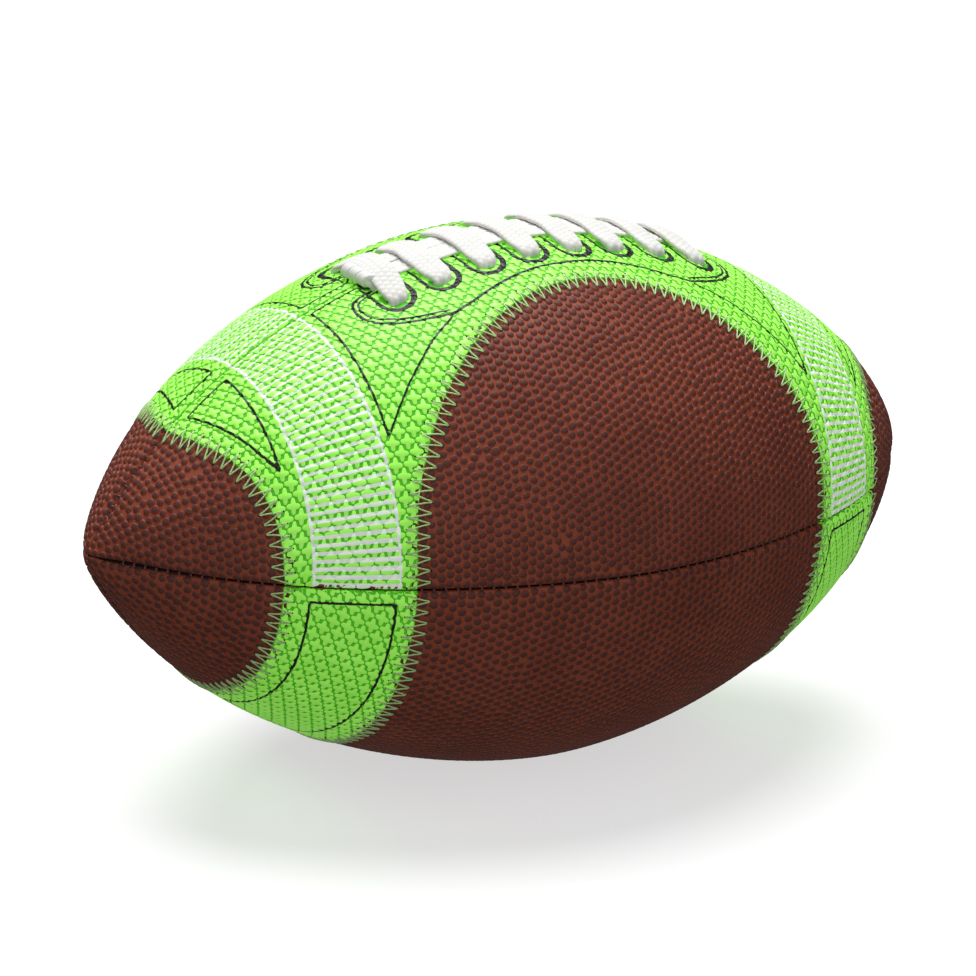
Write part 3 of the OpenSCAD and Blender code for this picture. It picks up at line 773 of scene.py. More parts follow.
def pebbles(name, from_turn, covers, clear):
    """The raised pebbles of one panel, with the crown of each marked for the dark print."""
    pitch, foot, rise = covers.pebble_pitch / MM, covers.pebble_width / MM / 2, covers.pebble_rise / MM
    if from_turn:
        pitch, foot = covers.low_pitch / MM, foot * covers.low_pitch / covers.pebble_pitch
    seed = covers.seed + (from_turn > 0)
    s, turn = pebble_places(from_turn, pitch, seed, clear)
    draw = np.random.default_rng(seed + 100)
    single, form = template(pebble_shape())
    mesh = stamped(name, single, len(s))
    each = (len(s), 1)
    wide = foot * draw.normal(1.0, 0.06, each)
    slim = wide * draw.normal(0.95, 0.05, each)
    lean = draw.uniform(0, math.pi, each)
    bearing = np.arctan2(form[:, 1], form[:, 0])
    ripple = 1 + 0.05 * np.cos(3 * bearing + draw.uniform(0, 6.28, each))
    a, b = form[:, 0] * wide * ripple, form[:, 1] * slim * ripple
    ds, down = a * np.cos(lean) - b * np.sin(lean), -(a * np.sin(lean) + b * np.cos(lean))
    place_s = np.clip(s[:, None] + ds, -REACH + 0.05, REACH - 0.05)
    r = skin_r(place_s)
    edge = np.minimum(SEAM_GAP / r, QUARTER / 3)
    place_turn = np.clip(turn[:, None] + down / skin_r(s)[:, None],
                         from_turn + edge, from_turn + QUARTER - edge)
    height = GROUND + form[:, 2] * rise - seam_drop(place_s, place_turn, covers.seam_round / MM)
    move_to(mesh, on_skin(place_s, place_turn, height).reshape(-1, 3))
    crown = np.where(form[:, 2] > 0.85, 1.0, np.where(form[:, 2] > 0.5, 0.44, 0.0))
    return mesh, np.tile(crown, len(s))


def add_cutter(shape, s, turn, radius, half, sides):
    """Adds a round cutter square to the skin, half its length (mm) on either side of it."""
    low, high = (Vector(on_skin(s, turn, height)) for height in (-half, half))
    spin = (high - low).to_track_quat("Z", "Y").to_matrix().to_4x4()
    bmesh.ops.create_cone(shape, cap_ends=True, segments=sides, radius1=radius * MM, radius2=radius * MM,
                          depth=2 * half * MM, matrix=Matrix.Translation((low + high) / 2) @ spin)


def hole_cutters(holes):
    """Cutters at each (place on the axis, arc from the lace seam, radius)."""
    shape = bmesh.new()
    for x, arc, radius in holes:
        s = float(skin_s(x))
        add_cutter(shape, s, arc / float(skin_r(s)), radius, 4.0, 28)
    return made_mesh("cutters", shape)


def lace_holes(end):
    """The holes of one top panel; the eyelet at the lace's end is in the front one alone."""
    holes = [(FIRST_CROSS + k * CROSS_PITCH, *HOLE_OPEN[end]) for k in range(CROSSES)]
    return holes + [(EYELET_X, EYELET_ARC, EYELET_R)] if end == "front" else holes


def valve_cutter():
    """The cutter for the valve, in the middle of a bottom panel."""
    shape = bmesh.new()
    add_cutter(shape, 0.0, VALVE_TURN, VALVE_R, 6.0, 40)
    return made_mesh("valve_cutter", shape)


def cover(name, from_turn, covers, cutters, clear=0.0):
    skin = panel_sheet(name, from_turn, GROUND, -SKIN_WALL, covers.seam_round / MM)
    if cutters:
        skin = cut(skin, cutters)
    stones, crown = pebbles(name, from_turn, covers, clear)
    whole = joined(name, [skin, stones])
    # Painted shade in the open seams: the slot is marked -1, which the leather paints near black
    s, turn = off_skin(points_of(skin))
    slot = (seam_distance(s, turn) < seam_gap(s) + 0.02) & ~at_lace_seam(turn)
    give(whole, "crown", np.concatenate([-slot.astype(float), crown]))
    return whole


class FOOTBALL_OT_covers(bpy.types.Operator):
    """Make the four pebbled cover panels"""
    bl_idname = "football.covers"
    bl_label = "Cover panels"

    def execute(self, context):
        covers = context.scene.football_covers
        leather = leather_material(covers)
        for end in ("back", "front"):
            top = cover(f"top_{end}_cover_leather", 0.0, covers, hole_cutters(lace_holes(end)))
            # The valve comes through the bottom back panel
            valve = (valve_cutter(), VALVE_R + 1.7) if end == "back" else (None, 0.0)
            bottom = cover(f"bottom_{end}_cover_leather", QUARTER, covers, *valve)
            for word, mesh in (("top", top), ("bottom", bottom)):
                piece(f"{word}_{end}_cover_leather", turned_round(mesh) if end == "back" else mesh, leather,
                      "cover", f"{word}_{end}_cover")
        return {"FINISHED"}


# ---- grips -----------------------------------------------------------------------------------------

# The crosses' lattice on the flat film: x along the ball, y away from the lace seam (mm)
LATTICE_B = np.array((1.6, 3.35))
LATTICE_C = np.array((-2.4, 2.65))
ARM_LEANS = (math.radians(15), math.radians(99))
# The turn that each panel's lattice is laid flat from
LATTICE_TURN = {0.0: 0.8, QUARTER: 2.0}
LATTICE_COUNT = 75
LATTICE_REACH = 125
# How far past its grip's edge a cross is still drawn, and how near a hole none is (mm)
CROSS_SPILL = 1.3
CROSS_CLEAR = 0.6
# One quarter of a cross with arms of reach 1, from the tip of an arm to the next
CROSS_QUARTER = ((1.0, 0.0), (0.94, 0.2), (0.7, 0.3), (0.36, 0.36), (0.3, 0.7), (0.2, 0.94))
LONG_ARM = 1.16


def cross_shape(reach):
    """One raised cross: its outline drawn in, raised, and its edge eased."""
    shape = bmesh.new()
    bmesh.ops.create_circle(shape, cap_ends=True, segments=24, radius=1.0)
    verts = sorted(shape.verts, key=lambda v: math.atan2(v.co.y, v.co.x) % math.tau)
    for i, vert in enumerate(verts):
        along, side = CROSS_QUARTER[i % 6]
        spin = (i // 6) * QUARTER
        x = along * math.cos(spin) - side * math.sin(spin)
        y = LONG_ARM * (along * math.sin(spin) + side * math.cos(spin))
        first, second = ARM_LEANS
        # y runs down the front, so the lean is drawn the other way round in the right handed frame
        vert.co = (reach * (x * math.cos(first) + y * math.cos(second)),
                   -reach * (x * math.sin(first) + y * math.sin(second)), 0.0)
    bmesh.ops.recalc_face_normals(shape, faces=shape.faces[:])
    raised = bmesh.ops.extrude_face_region(shape, geom=shape.faces[:], use_keep_orig=True)
    top = [v for v in raised["geom"] if isinstance(v, bmesh.types.BMVert)]
    bmesh.ops.translate(shape, verts=top, vec=(0, 0, 0.72))
    bmesh.ops.scale(shape, verts=top, vec=(0.97, 0.97, 1.0))
    face = [f for f in raised["geom"] if isinstance(f, bmesh.types.BMFace)]
    again = bmesh.ops.extrude_face_region(shape, geom=face)
    bmesh.ops.delete(shape, geom=face, context="FACES_ONLY")
    crest = [v for v in again["geom"] if isinstance(v, bmesh.types.BMVert)]
    bmesh.ops.translate(shape, verts=crest, vec=(0, 0, 0.28))
    bmesh.ops.scale(shape, verts=crest, vec=(0.89, 0.89, 1.0))
    bmesh.ops.recalc_face_normals(shape, faces=shape.faces[:])
    return shape


def crosses(name, from_turn, kept, grips, seam_round, holes):
    """The raised crosses of one grip, cut short at its edges and its holes, with their crowns marked."""
    reach, rise, film = grips.cross_reach / MM, grips.cross_rise / MM, grips.film / MM
    middle = LATTICE_TURN[from_turn]
    numbers = np.arange(-LATTICE_COUNT, LATTICE_COUNT + 1)
    i, j = np.meshgrid(numbers, numbers)
    flat = i.reshape(-1, 1) * LATTICE_B + j.reshape(-1, 1) * LATTICE_C
    flat = flat[np.abs(flat[:, 0]) < LATTICE_REACH]
    turn = middle + flat[:, 1] / skin_r(flat[:, 0])
    spill = CROSS_SPILL / skin_r(flat[:, 0])
    keep = (turn > from_turn - spill) & (turn < from_turn + QUARTER + spill)
    flat, turn = flat[keep], turn[keep]
    keep = moved(skin_x(flat[:, 0]), turn, kept) < CROSS_SPILL
    flat, turn = flat[keep], turn[keep]
    arc = turn * skin_r(flat[:, 0])
    for x, hole_arc, radius in holes:
        clear = np.hypot(flat[:, 0] - skin_s(x), arc - hole_arc) > radius + CROSS_CLEAR
        flat, turn, arc = flat[clear], turn[clear], arc[clear]
    single, form = template(cross_shape(reach))
    mesh = stamped(name, single, len(flat))
    s = flat[:, :1] + form[:, 0]
    turn = middle + (flat[:, 1:] - form[:, 1]) / skin_r(s)
    arc = turn * skin_r(s)
    for x, hole_arc, radius in holes:
        ds, da = s - skin_s(x), arc - hole_arc
        span = np.hypot(ds, da)
        push = np.maximum(1, (radius + 0.3) / np.maximum(span, 1e-6))
        s, arc = skin_s(x) + ds * push, hole_arc + da * push
    turn = arc / skin_r(s)
    x, turn = kept(skin_x(s), turn, 0.3, SEAM_GAP)
    s = skin_s(x)
    # A cross starts 0.06 mm inside the film
    height = film - 0.06 + form[:, 2] * (rise + 0.06) - film_drop(s, turn, seam_round)
    move_to(mesh, on_skin(s, turn, height).reshape(-1, 3))
    crown = np.where(form[:, 2] > 0.9, 1.0, np.where(form[:, 2] > 0.5, 0.7, 0.0))
    return mesh, np.tile(crown, len(flat))


# The film's share of the dip at the lace seam, half of its gap at a seam and the round of its cut edge (mm)
BRIDGE_SHARE = 0.4
FILM_GAP = 0.32
FILM_ROUND = 0.22


def film_drop(s, turn, seam_round):
    """How far the film turns into a seam: with the cover, but bridging the lace seam's dip in part."""
    return seam_drop(s, turn, seam_round) * np.where(turn < QUARTER / 2, BRIDGE_SHARE, 1.0)


def on_grip(s, turn, edge, is_outer, film, seam_round):
    """Points of a grip's film: eased at its cut edge and turned into the seam with the cover."""
    top = film - rounded(edge, FILM_ROUND) - film_drop(s, turn, seam_round)
    return on_skin(s, turn, np.where(is_outer, top, np.minimum(GROUND - 0.1, top - 0.1)))


def top_grip_sheet(name, film, seam_round):
    """The saddle of one top panel: a grid laid from the window's edge to the seam and the outer edges."""
    rows = 44
    legs, corner, crest = 10, 44, 62
    half = legs + corner + crest
    columns = 2 * half

    def place(u, v, is_outer):
        step = np.abs(u * columns - half)          # 0 in the middle, half at the side seam
        side = np.where(u < 0.5, -1.0, 1.0)
        in_leg, past_crest = step > crest + corner, step > crest
        lean = np.interp(step, [0, crest, crest + corner], [QUARTER, math.radians(40), 0.0])
        leg = np.clip((step - crest - corner) / legs, 0, 1)
        foot = QUARTER - FILM_GAP / skin_r(skin_s(WINDOW_HALF))
        in_x = np.where(in_leg, WINDOW_HALF, WINDOW_HALF * np.cos(lean))
        in_turn = np.where(in_leg, WINDOW_FOOT + leg * (foot - WINDOW_FOOT),
                           WINDOW_FOOT - (WINDOW_FOOT - WINDOW_TOP) * np.sin(lean))
        along = np.clip((step - crest) / (corner + legs), 0, 1)
        end_x = top_grip_edge(along * QUARTER)
        end_gap = FILM_GAP / skin_r(skin_s(end_x))
        crest_x = top_grip_edge(0.0) * np.minimum(step, crest) / crest
        slit = slit_share(crest_x) * (SLIT_HALF - FILM_GAP + 0.1)
        out_x = np.where(past_crest, end_x, crest_x)
        out_turn = np.where(past_crest, end_gap + along * (QUARTER - 2 * end_gap),
                            (FILM_GAP + slit) / skin_r(skin_s(crest_x)))
        length = np.hypot(out_x - in_x, (out_turn - in_turn) * 60)
        share = crowded(v, rows, length, ROWS_NEAR_EDGE) / length
        x = in_x + (out_x - in_x) * share
        turn = in_turn + (out_turn - in_turn) * share
        edge = np.minimum(share, np.where(past_crest, 1 - share, 1.0)) * length
        return on_grip(skin_s(side * x), turn, edge, is_outer, film, seam_round)

    return sheet(name, columns, rows, place)


def bottom_grip_sheet(name, side, film, seam_round):
    """The stripe at one end of a bottom panel."""
    rows, columns = 72, 36

    def place(u, v, is_outer):
        r_guess = 58.0
        arc = crowded(1 - v, rows, np.full(len(v), QUARTER * r_guess), ROWS_NEAR_EDGE)
        turn = QUARTER + arc / r_guess
        length = bottom_grip_edge(turn) - WINDOW_HALF
        share = crowded(u if side > 0 else 1 - u, columns, length, ROWS_NEAR_EDGE) / length
        s = skin_s(side * (WINDOW_HALF + length * share))
        gap = FILM_GAP / skin_r(s)
        turn = np.clip(turn, QUARTER + gap, math.pi - gap)
        edge = np.minimum(share, 1 - share) * length
        return on_grip(s, turn, edge, is_outer, film, seam_round)

    return sheet(name, columns, rows, place)


def outline_distance(points, corners):
    """Distance of flat points to a closed outline (mm), positive inside it."""
    best = np.full(len(points), 1e6)
    inside = np.zeros(len(points), bool)
    for start, end in zip(corners, np.roll(corners, -1, axis=0)):
        way = end - start
        share = np.clip(((points - start) @ way) / (way @ way), 0, 1)
        gap = points - start - share[:, None] * way
        best = np.minimum(best, np.hypot(gap[:, 0], gap[:, 1]))
        if way[1] != 0:
            spans = (start[1] > points[:, 1]) != (end[1] > points[:, 1])
            inside ^= spans & (points[:, 0] < start[0] + (points[:, 1] - start[1]) * way[0] / way[1])
    return np.where(inside, best, -best)


def on_film(places):
    """Corners given as (place on the axis, arc) put on the flat film."""
    places = np.array(places, dtype=float)
    return np.stack([skin_s(places[:, 0]), places[:, 1]], axis=1)


# The printed trim on the flat film, as (place on the axis, arc from the panel's upper seam) in mm:
# the plate round the lacing, the kite and the wedge beside it, and the shield on each low stripe
PLATE = ((44.0, 1.0), (46.0, 6.6), (52.0, 7.2), (56.2, 7.5), (58.5, 8.4), (59.6, 10.2), (60.2, 12.5),
         (59.8, 16.5), (57.8, 20.3), (53.0, 24.2), (48.0, 26.6), (39.0, 29.4), (32.0, 28.0), (25.6, 26.0),
         (17.0, 23.8), (8.7, 22.6))
DOUBLE_FROM = 39.0
KITE = ((54.0, 2.6), (68.1, 2.6), (68.1, 20.0), (68.4, 35.0), (68.7, 52.2), (64.2, 47.3), (59.0, 42.4),
        (54.3, 38.8), (49.5, 35.3), (44.8, 32.6), (39.9, 30.4), (40.0, 20.0))
WEDGE = ((94.6, 3.6), (106.2, 3.6), (103.2, 13.6), (100.2, 22.8), (97.8, 30.7), (94.9, 39.2))
SHIELD = ((71.7, 3.8), (91.8, 3.8), (91.9, 24.0), (92.6, 38.0), (93.6, 52.0), (94.3, 63.0),
          (75.6, 74.0), (74.4, 66.0), (73.4, 55.0), (72.4, 38.0), (71.9, 20.0))
# The ladder: its middle on the axis, the pitch of its rungs, where the first lies, the radius there,
# and half of a rung's width at the lace seam and what it gains by the side seam (shares of the pitch)
LADDER_X = 81.0
RUNG_PITCH = 2.33
FIRST_RUNG = 3.9
LADDER_R = 53.8
RUNG_HALF, RUNG_GAIN = 0.13, 0.15


def loop_outline(left, right, top_left, top_right, middle, low):
    """One loop round a lace end: two legs and a round foot, about the cross's own middle."""
    half = (right - left) / 2
    centre = (left + right) / 2
    foot = [(centre + half * math.cos(a), middle + (low - middle) * math.sin(a))
            for a in np.linspace(0, math.pi, 15)]
    return [(top_right, 4.0)] + foot + [(top_left, 4.0)]


LOOP_OUT = loop_outline(-5.4, 6.35, -5.6, 5.6, 14.6, 21.0)
LOOP_IN = loop_outline(-4.2, 4.65, -4.9, 5.1, 14.2, 19.3)


def mark_print(mesh, crown, bottom):
    """Attributes that carry the print: signed distances to its outlines and the ladder's measures."""
    s, turn = off_skin(points_of(mesh))
    x = skin_x(s)
    arc = (turn - (QUARTER if bottom else 0.0)) * skin_r(s)
    flat = np.stack([np.abs(s), arc], axis=1)
    give(mesh, "crown", crown)
    if bottom:
        give(mesh, "figures", outline_distance(flat, on_film(SHIELD)))
        for name in ("plate", "loop_out", "loop_in"):
            give(mesh, name, np.full(len(s), -50.0))
        for name in ("double_line", "rail", "rung", "rung_half", "ladder"):
            give(mesh, name, np.zeros(len(s)))
        return
    plate = np.concatenate([on_film(PLATE), on_film([(-a, b) for a, b in PLATE[::-1]])])
    give(mesh, "plate", outline_distance(np.stack([s, arc], axis=1), plate))
    give(mesh, "double_line", np.clip((np.abs(s) - skin_s(DOUBLE_FROM)) / 1.5 + 0.5, 0, 1))
    give(mesh, "figures", np.maximum(outline_distance(flat, on_film(KITE)),
                                     outline_distance(flat, on_film(WEDGE))))
    nearest = np.clip(np.round((x - FIRST_CROSS) / CROSS_PITCH), 0, CROSSES - 1)
    local = np.stack([s - skin_s(FIRST_CROSS + nearest * CROSS_PITCH), arc], axis=1)
    give(mesh, "loop_out", outline_distance(local, np.array(LOOP_OUT)))
    give(mesh, "loop_in", outline_distance(local, np.array(LOOP_IN)))
    give(mesh, "rail", np.abs(x) - LADDER_X)
    give(mesh, "rung", turn * LADDER_R / RUNG_PITCH - FIRST_RUNG / RUNG_PITCH + 0.5)
    give(mesh, "rung_half", RUNG_HALF + RUNG_GAIN * (turn / QUARTER) ** 2)
    give(mesh, "ladder", np.ones(len(s)))


class FOOTBALL_OT_grips(bpy.types.Operator):
    """Make the raised grips with their crosses and printed trim"""
    bl_idname = "football.grips"
    bl_label = "Grips"

    def execute(self, context):
        grips, covers = context.scene.football_grips, context.scene.football_covers
        film, seam_round = grips.film / MM, covers.seam_round / MM
        material = grip_material(grips)
        for end in ("front", "back"):
            name = f"top_{end}_grip_film"
            holes = lace_holes(end)
            saddle = cut(top_grip_sheet(name, film, seam_round), hole_cutters(holes))
            raised, crown = crosses(name, 0.0, kept_on_top, grips, seam_round, holes)
            whole = joined(name, [saddle, raised])
            mark_print(whole, np.concatenate([np.zeros(len(saddle.vertices)), crown]), False)
            piece(name, turned_round(whole) if end == "back" else whole, material, "grip",
                  f"top_{end}_grip")
        for side, word, other in ((-1, "left", "right"), (1, "right", "left")):
            name = f"bottom_front_{word}_grip_film"
            stripe = bottom_grip_sheet(name, side, film, seam_round)
            raised, crown = crosses(name, QUARTER, kept_on_bottom(side), grips, seam_round, [])
            whole = joined(name, [stripe, raised])
            mark_print(whole, np.concatenate([np.zeros(len(stripe.vertices)), crown]), True)
            piece(f"bottom_back_{other}_grip_film", turned_round(whole), material, "grip",
                  f"bottom_back_{other}_grip")
            piece(name, whole, material, "grip", f"bottom_front_{word}_grip")
        return {"FINISHED"}


# ---- stitching -------------------------------------------------------------------------------------

# One zigzag stitch over a grip's edge: along the edge, out over the leather, up (mm)
HALF_STITCH = ((-1.5, -2.95, -0.4), (-1.5, -2.7, 0.42), (-1.42, -1.9, 0.56), (-1.25, -1.1, 0.66),
               (-0.87, 0.1, 0.6), (-0.52, 1.3, 0.5), (-0.28, 2.3, 0.44), (-0.17, 2.9, 0.36))
STITCH = HALF_STITCH + ((0.0, 3.2, 0.15),) + tuple((-a, o, h) for a, o, h in HALF_STITCH[::-1])


def unit(rows):
    """Rows of vectors brought to length 1."""
    return rows / np.maximum(np.linalg.norm(rows, axis=1, keepdims=True), 1e-6)


def run_length(points):
    """Length along a path up to each of its points."""
    return np.concatenate([[0], np.cumsum(np.linalg.norm(np.diff(points, axis=0), axis=1))])


def tube_rings(path, radius, sides):
    """Rings of points about a path."""
    path = np.array(path, dtype=float)
    way = unit(np.gradient(path, axis=0))
    wide = unit(np.cross(way, (0, 0, 1)))
    high = np.cross(wide, way)
    turn = (np.arange(sides) / sides * math.tau)[:, None]
    return path[:, None] + radius * (wide[:, None] * np.cos(turn) + high[:, None] * np.sin(turn))


# How far on either side of a stitch its edge's direction is taken (mm)
LOOK = 0.8


def edge_frames(x, turn, pitch):
    """Even places along an edge with their directions on the flat film."""
    s = skin_s(x)
    length = run_length(on_skin(s, turn, 0.0) / MM)
    count = int(round(length[-1] / pitch))
    at = (np.arange(count) + 0.5) * length[-1] / count
    mid_s, mid_turn = np.interp(at, length, s), np.interp(at, length, turn)
    ds, da = (np.interp(at + LOOK, length, measure) - np.interp(at - LOOK, length, measure)
              for measure in (s, turn))
    da = da * skin_r(mid_s)
    norm = np.hypot(ds, da)
    return mid_s, mid_turn, ds / norm, da / norm


def laid_along(name, shape, rows, draw=None):
    """Copies of a small shape laid along edges. Each row is of an edge's places, turns and directions
    on the film, and the side that the leather is on."""
    single, form = template(shape)
    s, turn, ts, ta = (np.concatenate([row[i] for row in rows])[:, None] for i in range(4))
    side = np.concatenate([np.full(len(row[0]), row[4]) for row in rows])[:, None]
    mesh = stamped(name, single, len(s))
    a, o = np.tile(form[:, 0], s.shape), np.tile(form[:, 1], s.shape)
    if draw is not None:
        # No two stitches are alike: longer or shorter, wider or narrower, and their tips a bit aside
        a = a * draw.normal(1, 0.07, s.shape) + draw.normal(0, 0.1, s.shape) * (o > 0)
        o = o * draw.normal(1, 0.04, s.shape)
    new_s = s - side * a * ts - side * o * ta
    new_turn = turn + (-side * a * ta + side * o * ts) / skin_r(s)
    move_to(mesh, on_skin(new_s, new_turn, form[:, 2]).reshape(-1, 3))
    return mesh


def window_edge():
    """The window's edge on a top panel, from the left foot round to the right one."""
    lean = np.linspace(0, math.pi, 200)
    foot = np.linspace(QUARTER - 1.2 / BELLY, WINDOW_FOOT, 12)[:-1]
    leg = np.full(len(foot), WINDOW_HALF)
    x = np.concatenate([-leg, -WINDOW_HALF * np.cos(lean), leg])
    turn = np.concatenate([foot, WINDOW_FOOT - (WINDOW_FOOT - WINDOW_TOP) * np.sin(lean), foot[::-1]])
    return x, turn


def grip_edges():
    """Every grip edge on the front half: places, turns and the side that the leather is on."""
    top = np.linspace(0.03, QUARTER - 0.02, 120)
    low = np.linspace(QUARTER + 0.02, math.pi - 0.02, 120)
    edges = [("top", *window_edge(), 1)]
    for side in (-1, 1):
        edges.append(("top", side * top_grip_edge(top), top, side * -1))
        edges.append(("bottom", side * bottom_grip_edge(low), low, side * -1))
        edges.append(("bottom", np.full(120, side * WINDOW_HALF), low, side))
    return edges


def hole_shade_shape():
    """The two needle holes of a stitch, in the film and in the leather: dark discs that stand for the shade
    inside them.
    """
    shape = bmesh.new()
    for place, radius in (((1.57, -3.1, 0.27), 0.22), ((0.05, 3.35, -0.17), 0.34)):
        made = bmesh.ops.create_cone(shape, cap_ends=True, segments=7, radius1=radius, radius2=radius,
                                     depth=0.5)
        bmesh.ops.translate(shape, verts=made["verts"], vec=place)
    return shape


def seam_stitch_shape(thread):
    """One stitch of the seam, a short thread lying across it."""
    half = [(0, -0.6, -1.5), (0, -0.46, -1.05), (0, -0.2, -0.82)]
    path = half + [(0, -o, h) for _, o, h in half[::-1]]
    return closed_tube(tube(tube_rings(path, thread / 2, 6)), 1e-5)


class FOOTBALL_OT_stitching(bpy.types.Operator):
    """Sew the zigzag along the grips' edges and the stitches in the seams"""
    bl_idname = "football.stitching"
    bl_label = "Stitching"

    def execute(self, context):
        stitching = context.scene.football_stitching
        thread = thread_material("bonded_green_thread", stitching.thread_colour)
        waxed = thread_material("waxed_seam_thread", stitching.seam_colour)
        painted_hole_shade = hole_shade_material(stitching.hole_shade_colour)
        for half in ("top", "bottom"):
            rows = [(*edge_frames(x, turn, stitching.pitch / MM), side)
                    for word, x, turn, side in grip_edges() if word == half]
            rings = tube_rings(STITCH, stitching.thread / MM / 2, 5)
            draw = np.random.default_rng(31 if half == "top" else 32)
            zigzag = laid_along("zigzag", closed_tube(tube(rings), 1e-5), rows, draw)
            pricks = laid_along("pricks", hole_shade_shape(), rows)
            for word, mesh, material in (("zigzag_thread", zigzag, thread),
                                         ("painted_needle_hole_shade", pricks, painted_hole_shade)):
                piece(f"{half}_back_{word}", turned_round(mesh), material, "grip")
                piece(f"{half}_front_{word}", mesh, material, "grip")
        pitch = stitching.seam_pitch / MM
        runs = {"side_seam_thread": (QUARTER, 0.0), "bottom_seam_thread": (math.pi, 0.0),
                "lace_seam_thread": (0.0, SLIT_REACH + 2.0)}
        for name, (turn, start) in runs.items():
            rows = []
            for side in (-1, 1):
                x = side * np.linspace(start, HALF_LENGTH - 4, 300)
                rows.append((*edge_frames(x, np.full(300, turn), pitch), 1))
            mesh = laid_along(name, seam_stitch_shape(stitching.thread / MM * 1.3), rows)
            if turn == QUARTER:
                piece("back_" + name, turned_round(mesh), waxed, "cover")
                name = "front_" + name
            piece(name, mesh, waxed, "cover")
        return {"FINISHED"}


# ---- the lace --------------------------------------------------------------------------------------

# Height and depth that the lace runs at (mm from the covers), and its places along and across the seam
FILM_TOP = 0.42
UNDER_LACE = 5.6
RUN_ARC = 3.6
RUN_WIDTH = 7.7
# The rolled end: three and a quarter turns of eight stops, the first few tucked inside
ROLL_STOPS = 27
ROLL_TUCKED = 6
ROLL_X = -52.2
ROLL_R = 1.15
ROLL_WIDTH = 4.0
ROLL_THICK = 2.1
ROLL_PITCH = 3.85
ROLL_START = -4.6
FOLD_R = 2.2
# The middle of the two runs strays across the seam: place, arc
WANDER = ((-50, -42, -28, -8, 12, 30, 50), (-0.7, -1.4, -0.4, 0.2, 0.5, -0.3, 0.2))
# The lift and shift along the seam of the first and the last cross, where the others draw theirs
END_CROSSES = {0: (1.6, 0.9), CROSSES - 1: (0.3, -1.5)}
# The two sides of a cross from its crest into its hole: arc, height, width and thickness. It bulges
# over the front holes, where it was pulled tight last, and lies close on the back.
FRONT_SIDE = ((2.0, 2.65, 8.1, 1.9), (5.6, 2.6, 8.1, 1.9), (8.8, 1.95, 8.0, 2.0), (11.6, 1.6, 7.7, 2.2),
              (14.6, 1.6, 6.8, 2.7), (16.8, 0.7, 5.4, 2.9), (15.6, -0.7, 5.0, 2.8), (14.6, -2.8, 4.2, 2.5),
              (14.2, -5.6, 4.2, 2.5))
BACK_SIDE = ((2.0, 2.7, 8.1, 1.9), (5.6, 2.55, 8.1, 1.9), (8.8, 1.8, 8.0, 2.0), (11.4, 1.4, 7.4, 2.1),
             (13.2, 1.1, 6.8, 2.3), (14.7, 0.2, 6.0, 2.4), (14.7, -1.2, 5.2, 2.5), (14.4, -2.8, 4.2, 2.5),
             (14.2, -5.6, 4.2, 2.5))


def ball_r(x, depth=0.0):
    """The radius of the outline shrunk by a depth."""
    return (BELLY - depth) * fullness(x / (HALF_LENGTH - depth))


def ball_slope(x):
    return (ball_r(x + 0.25) - ball_r(x - 0.25)) / 0.5


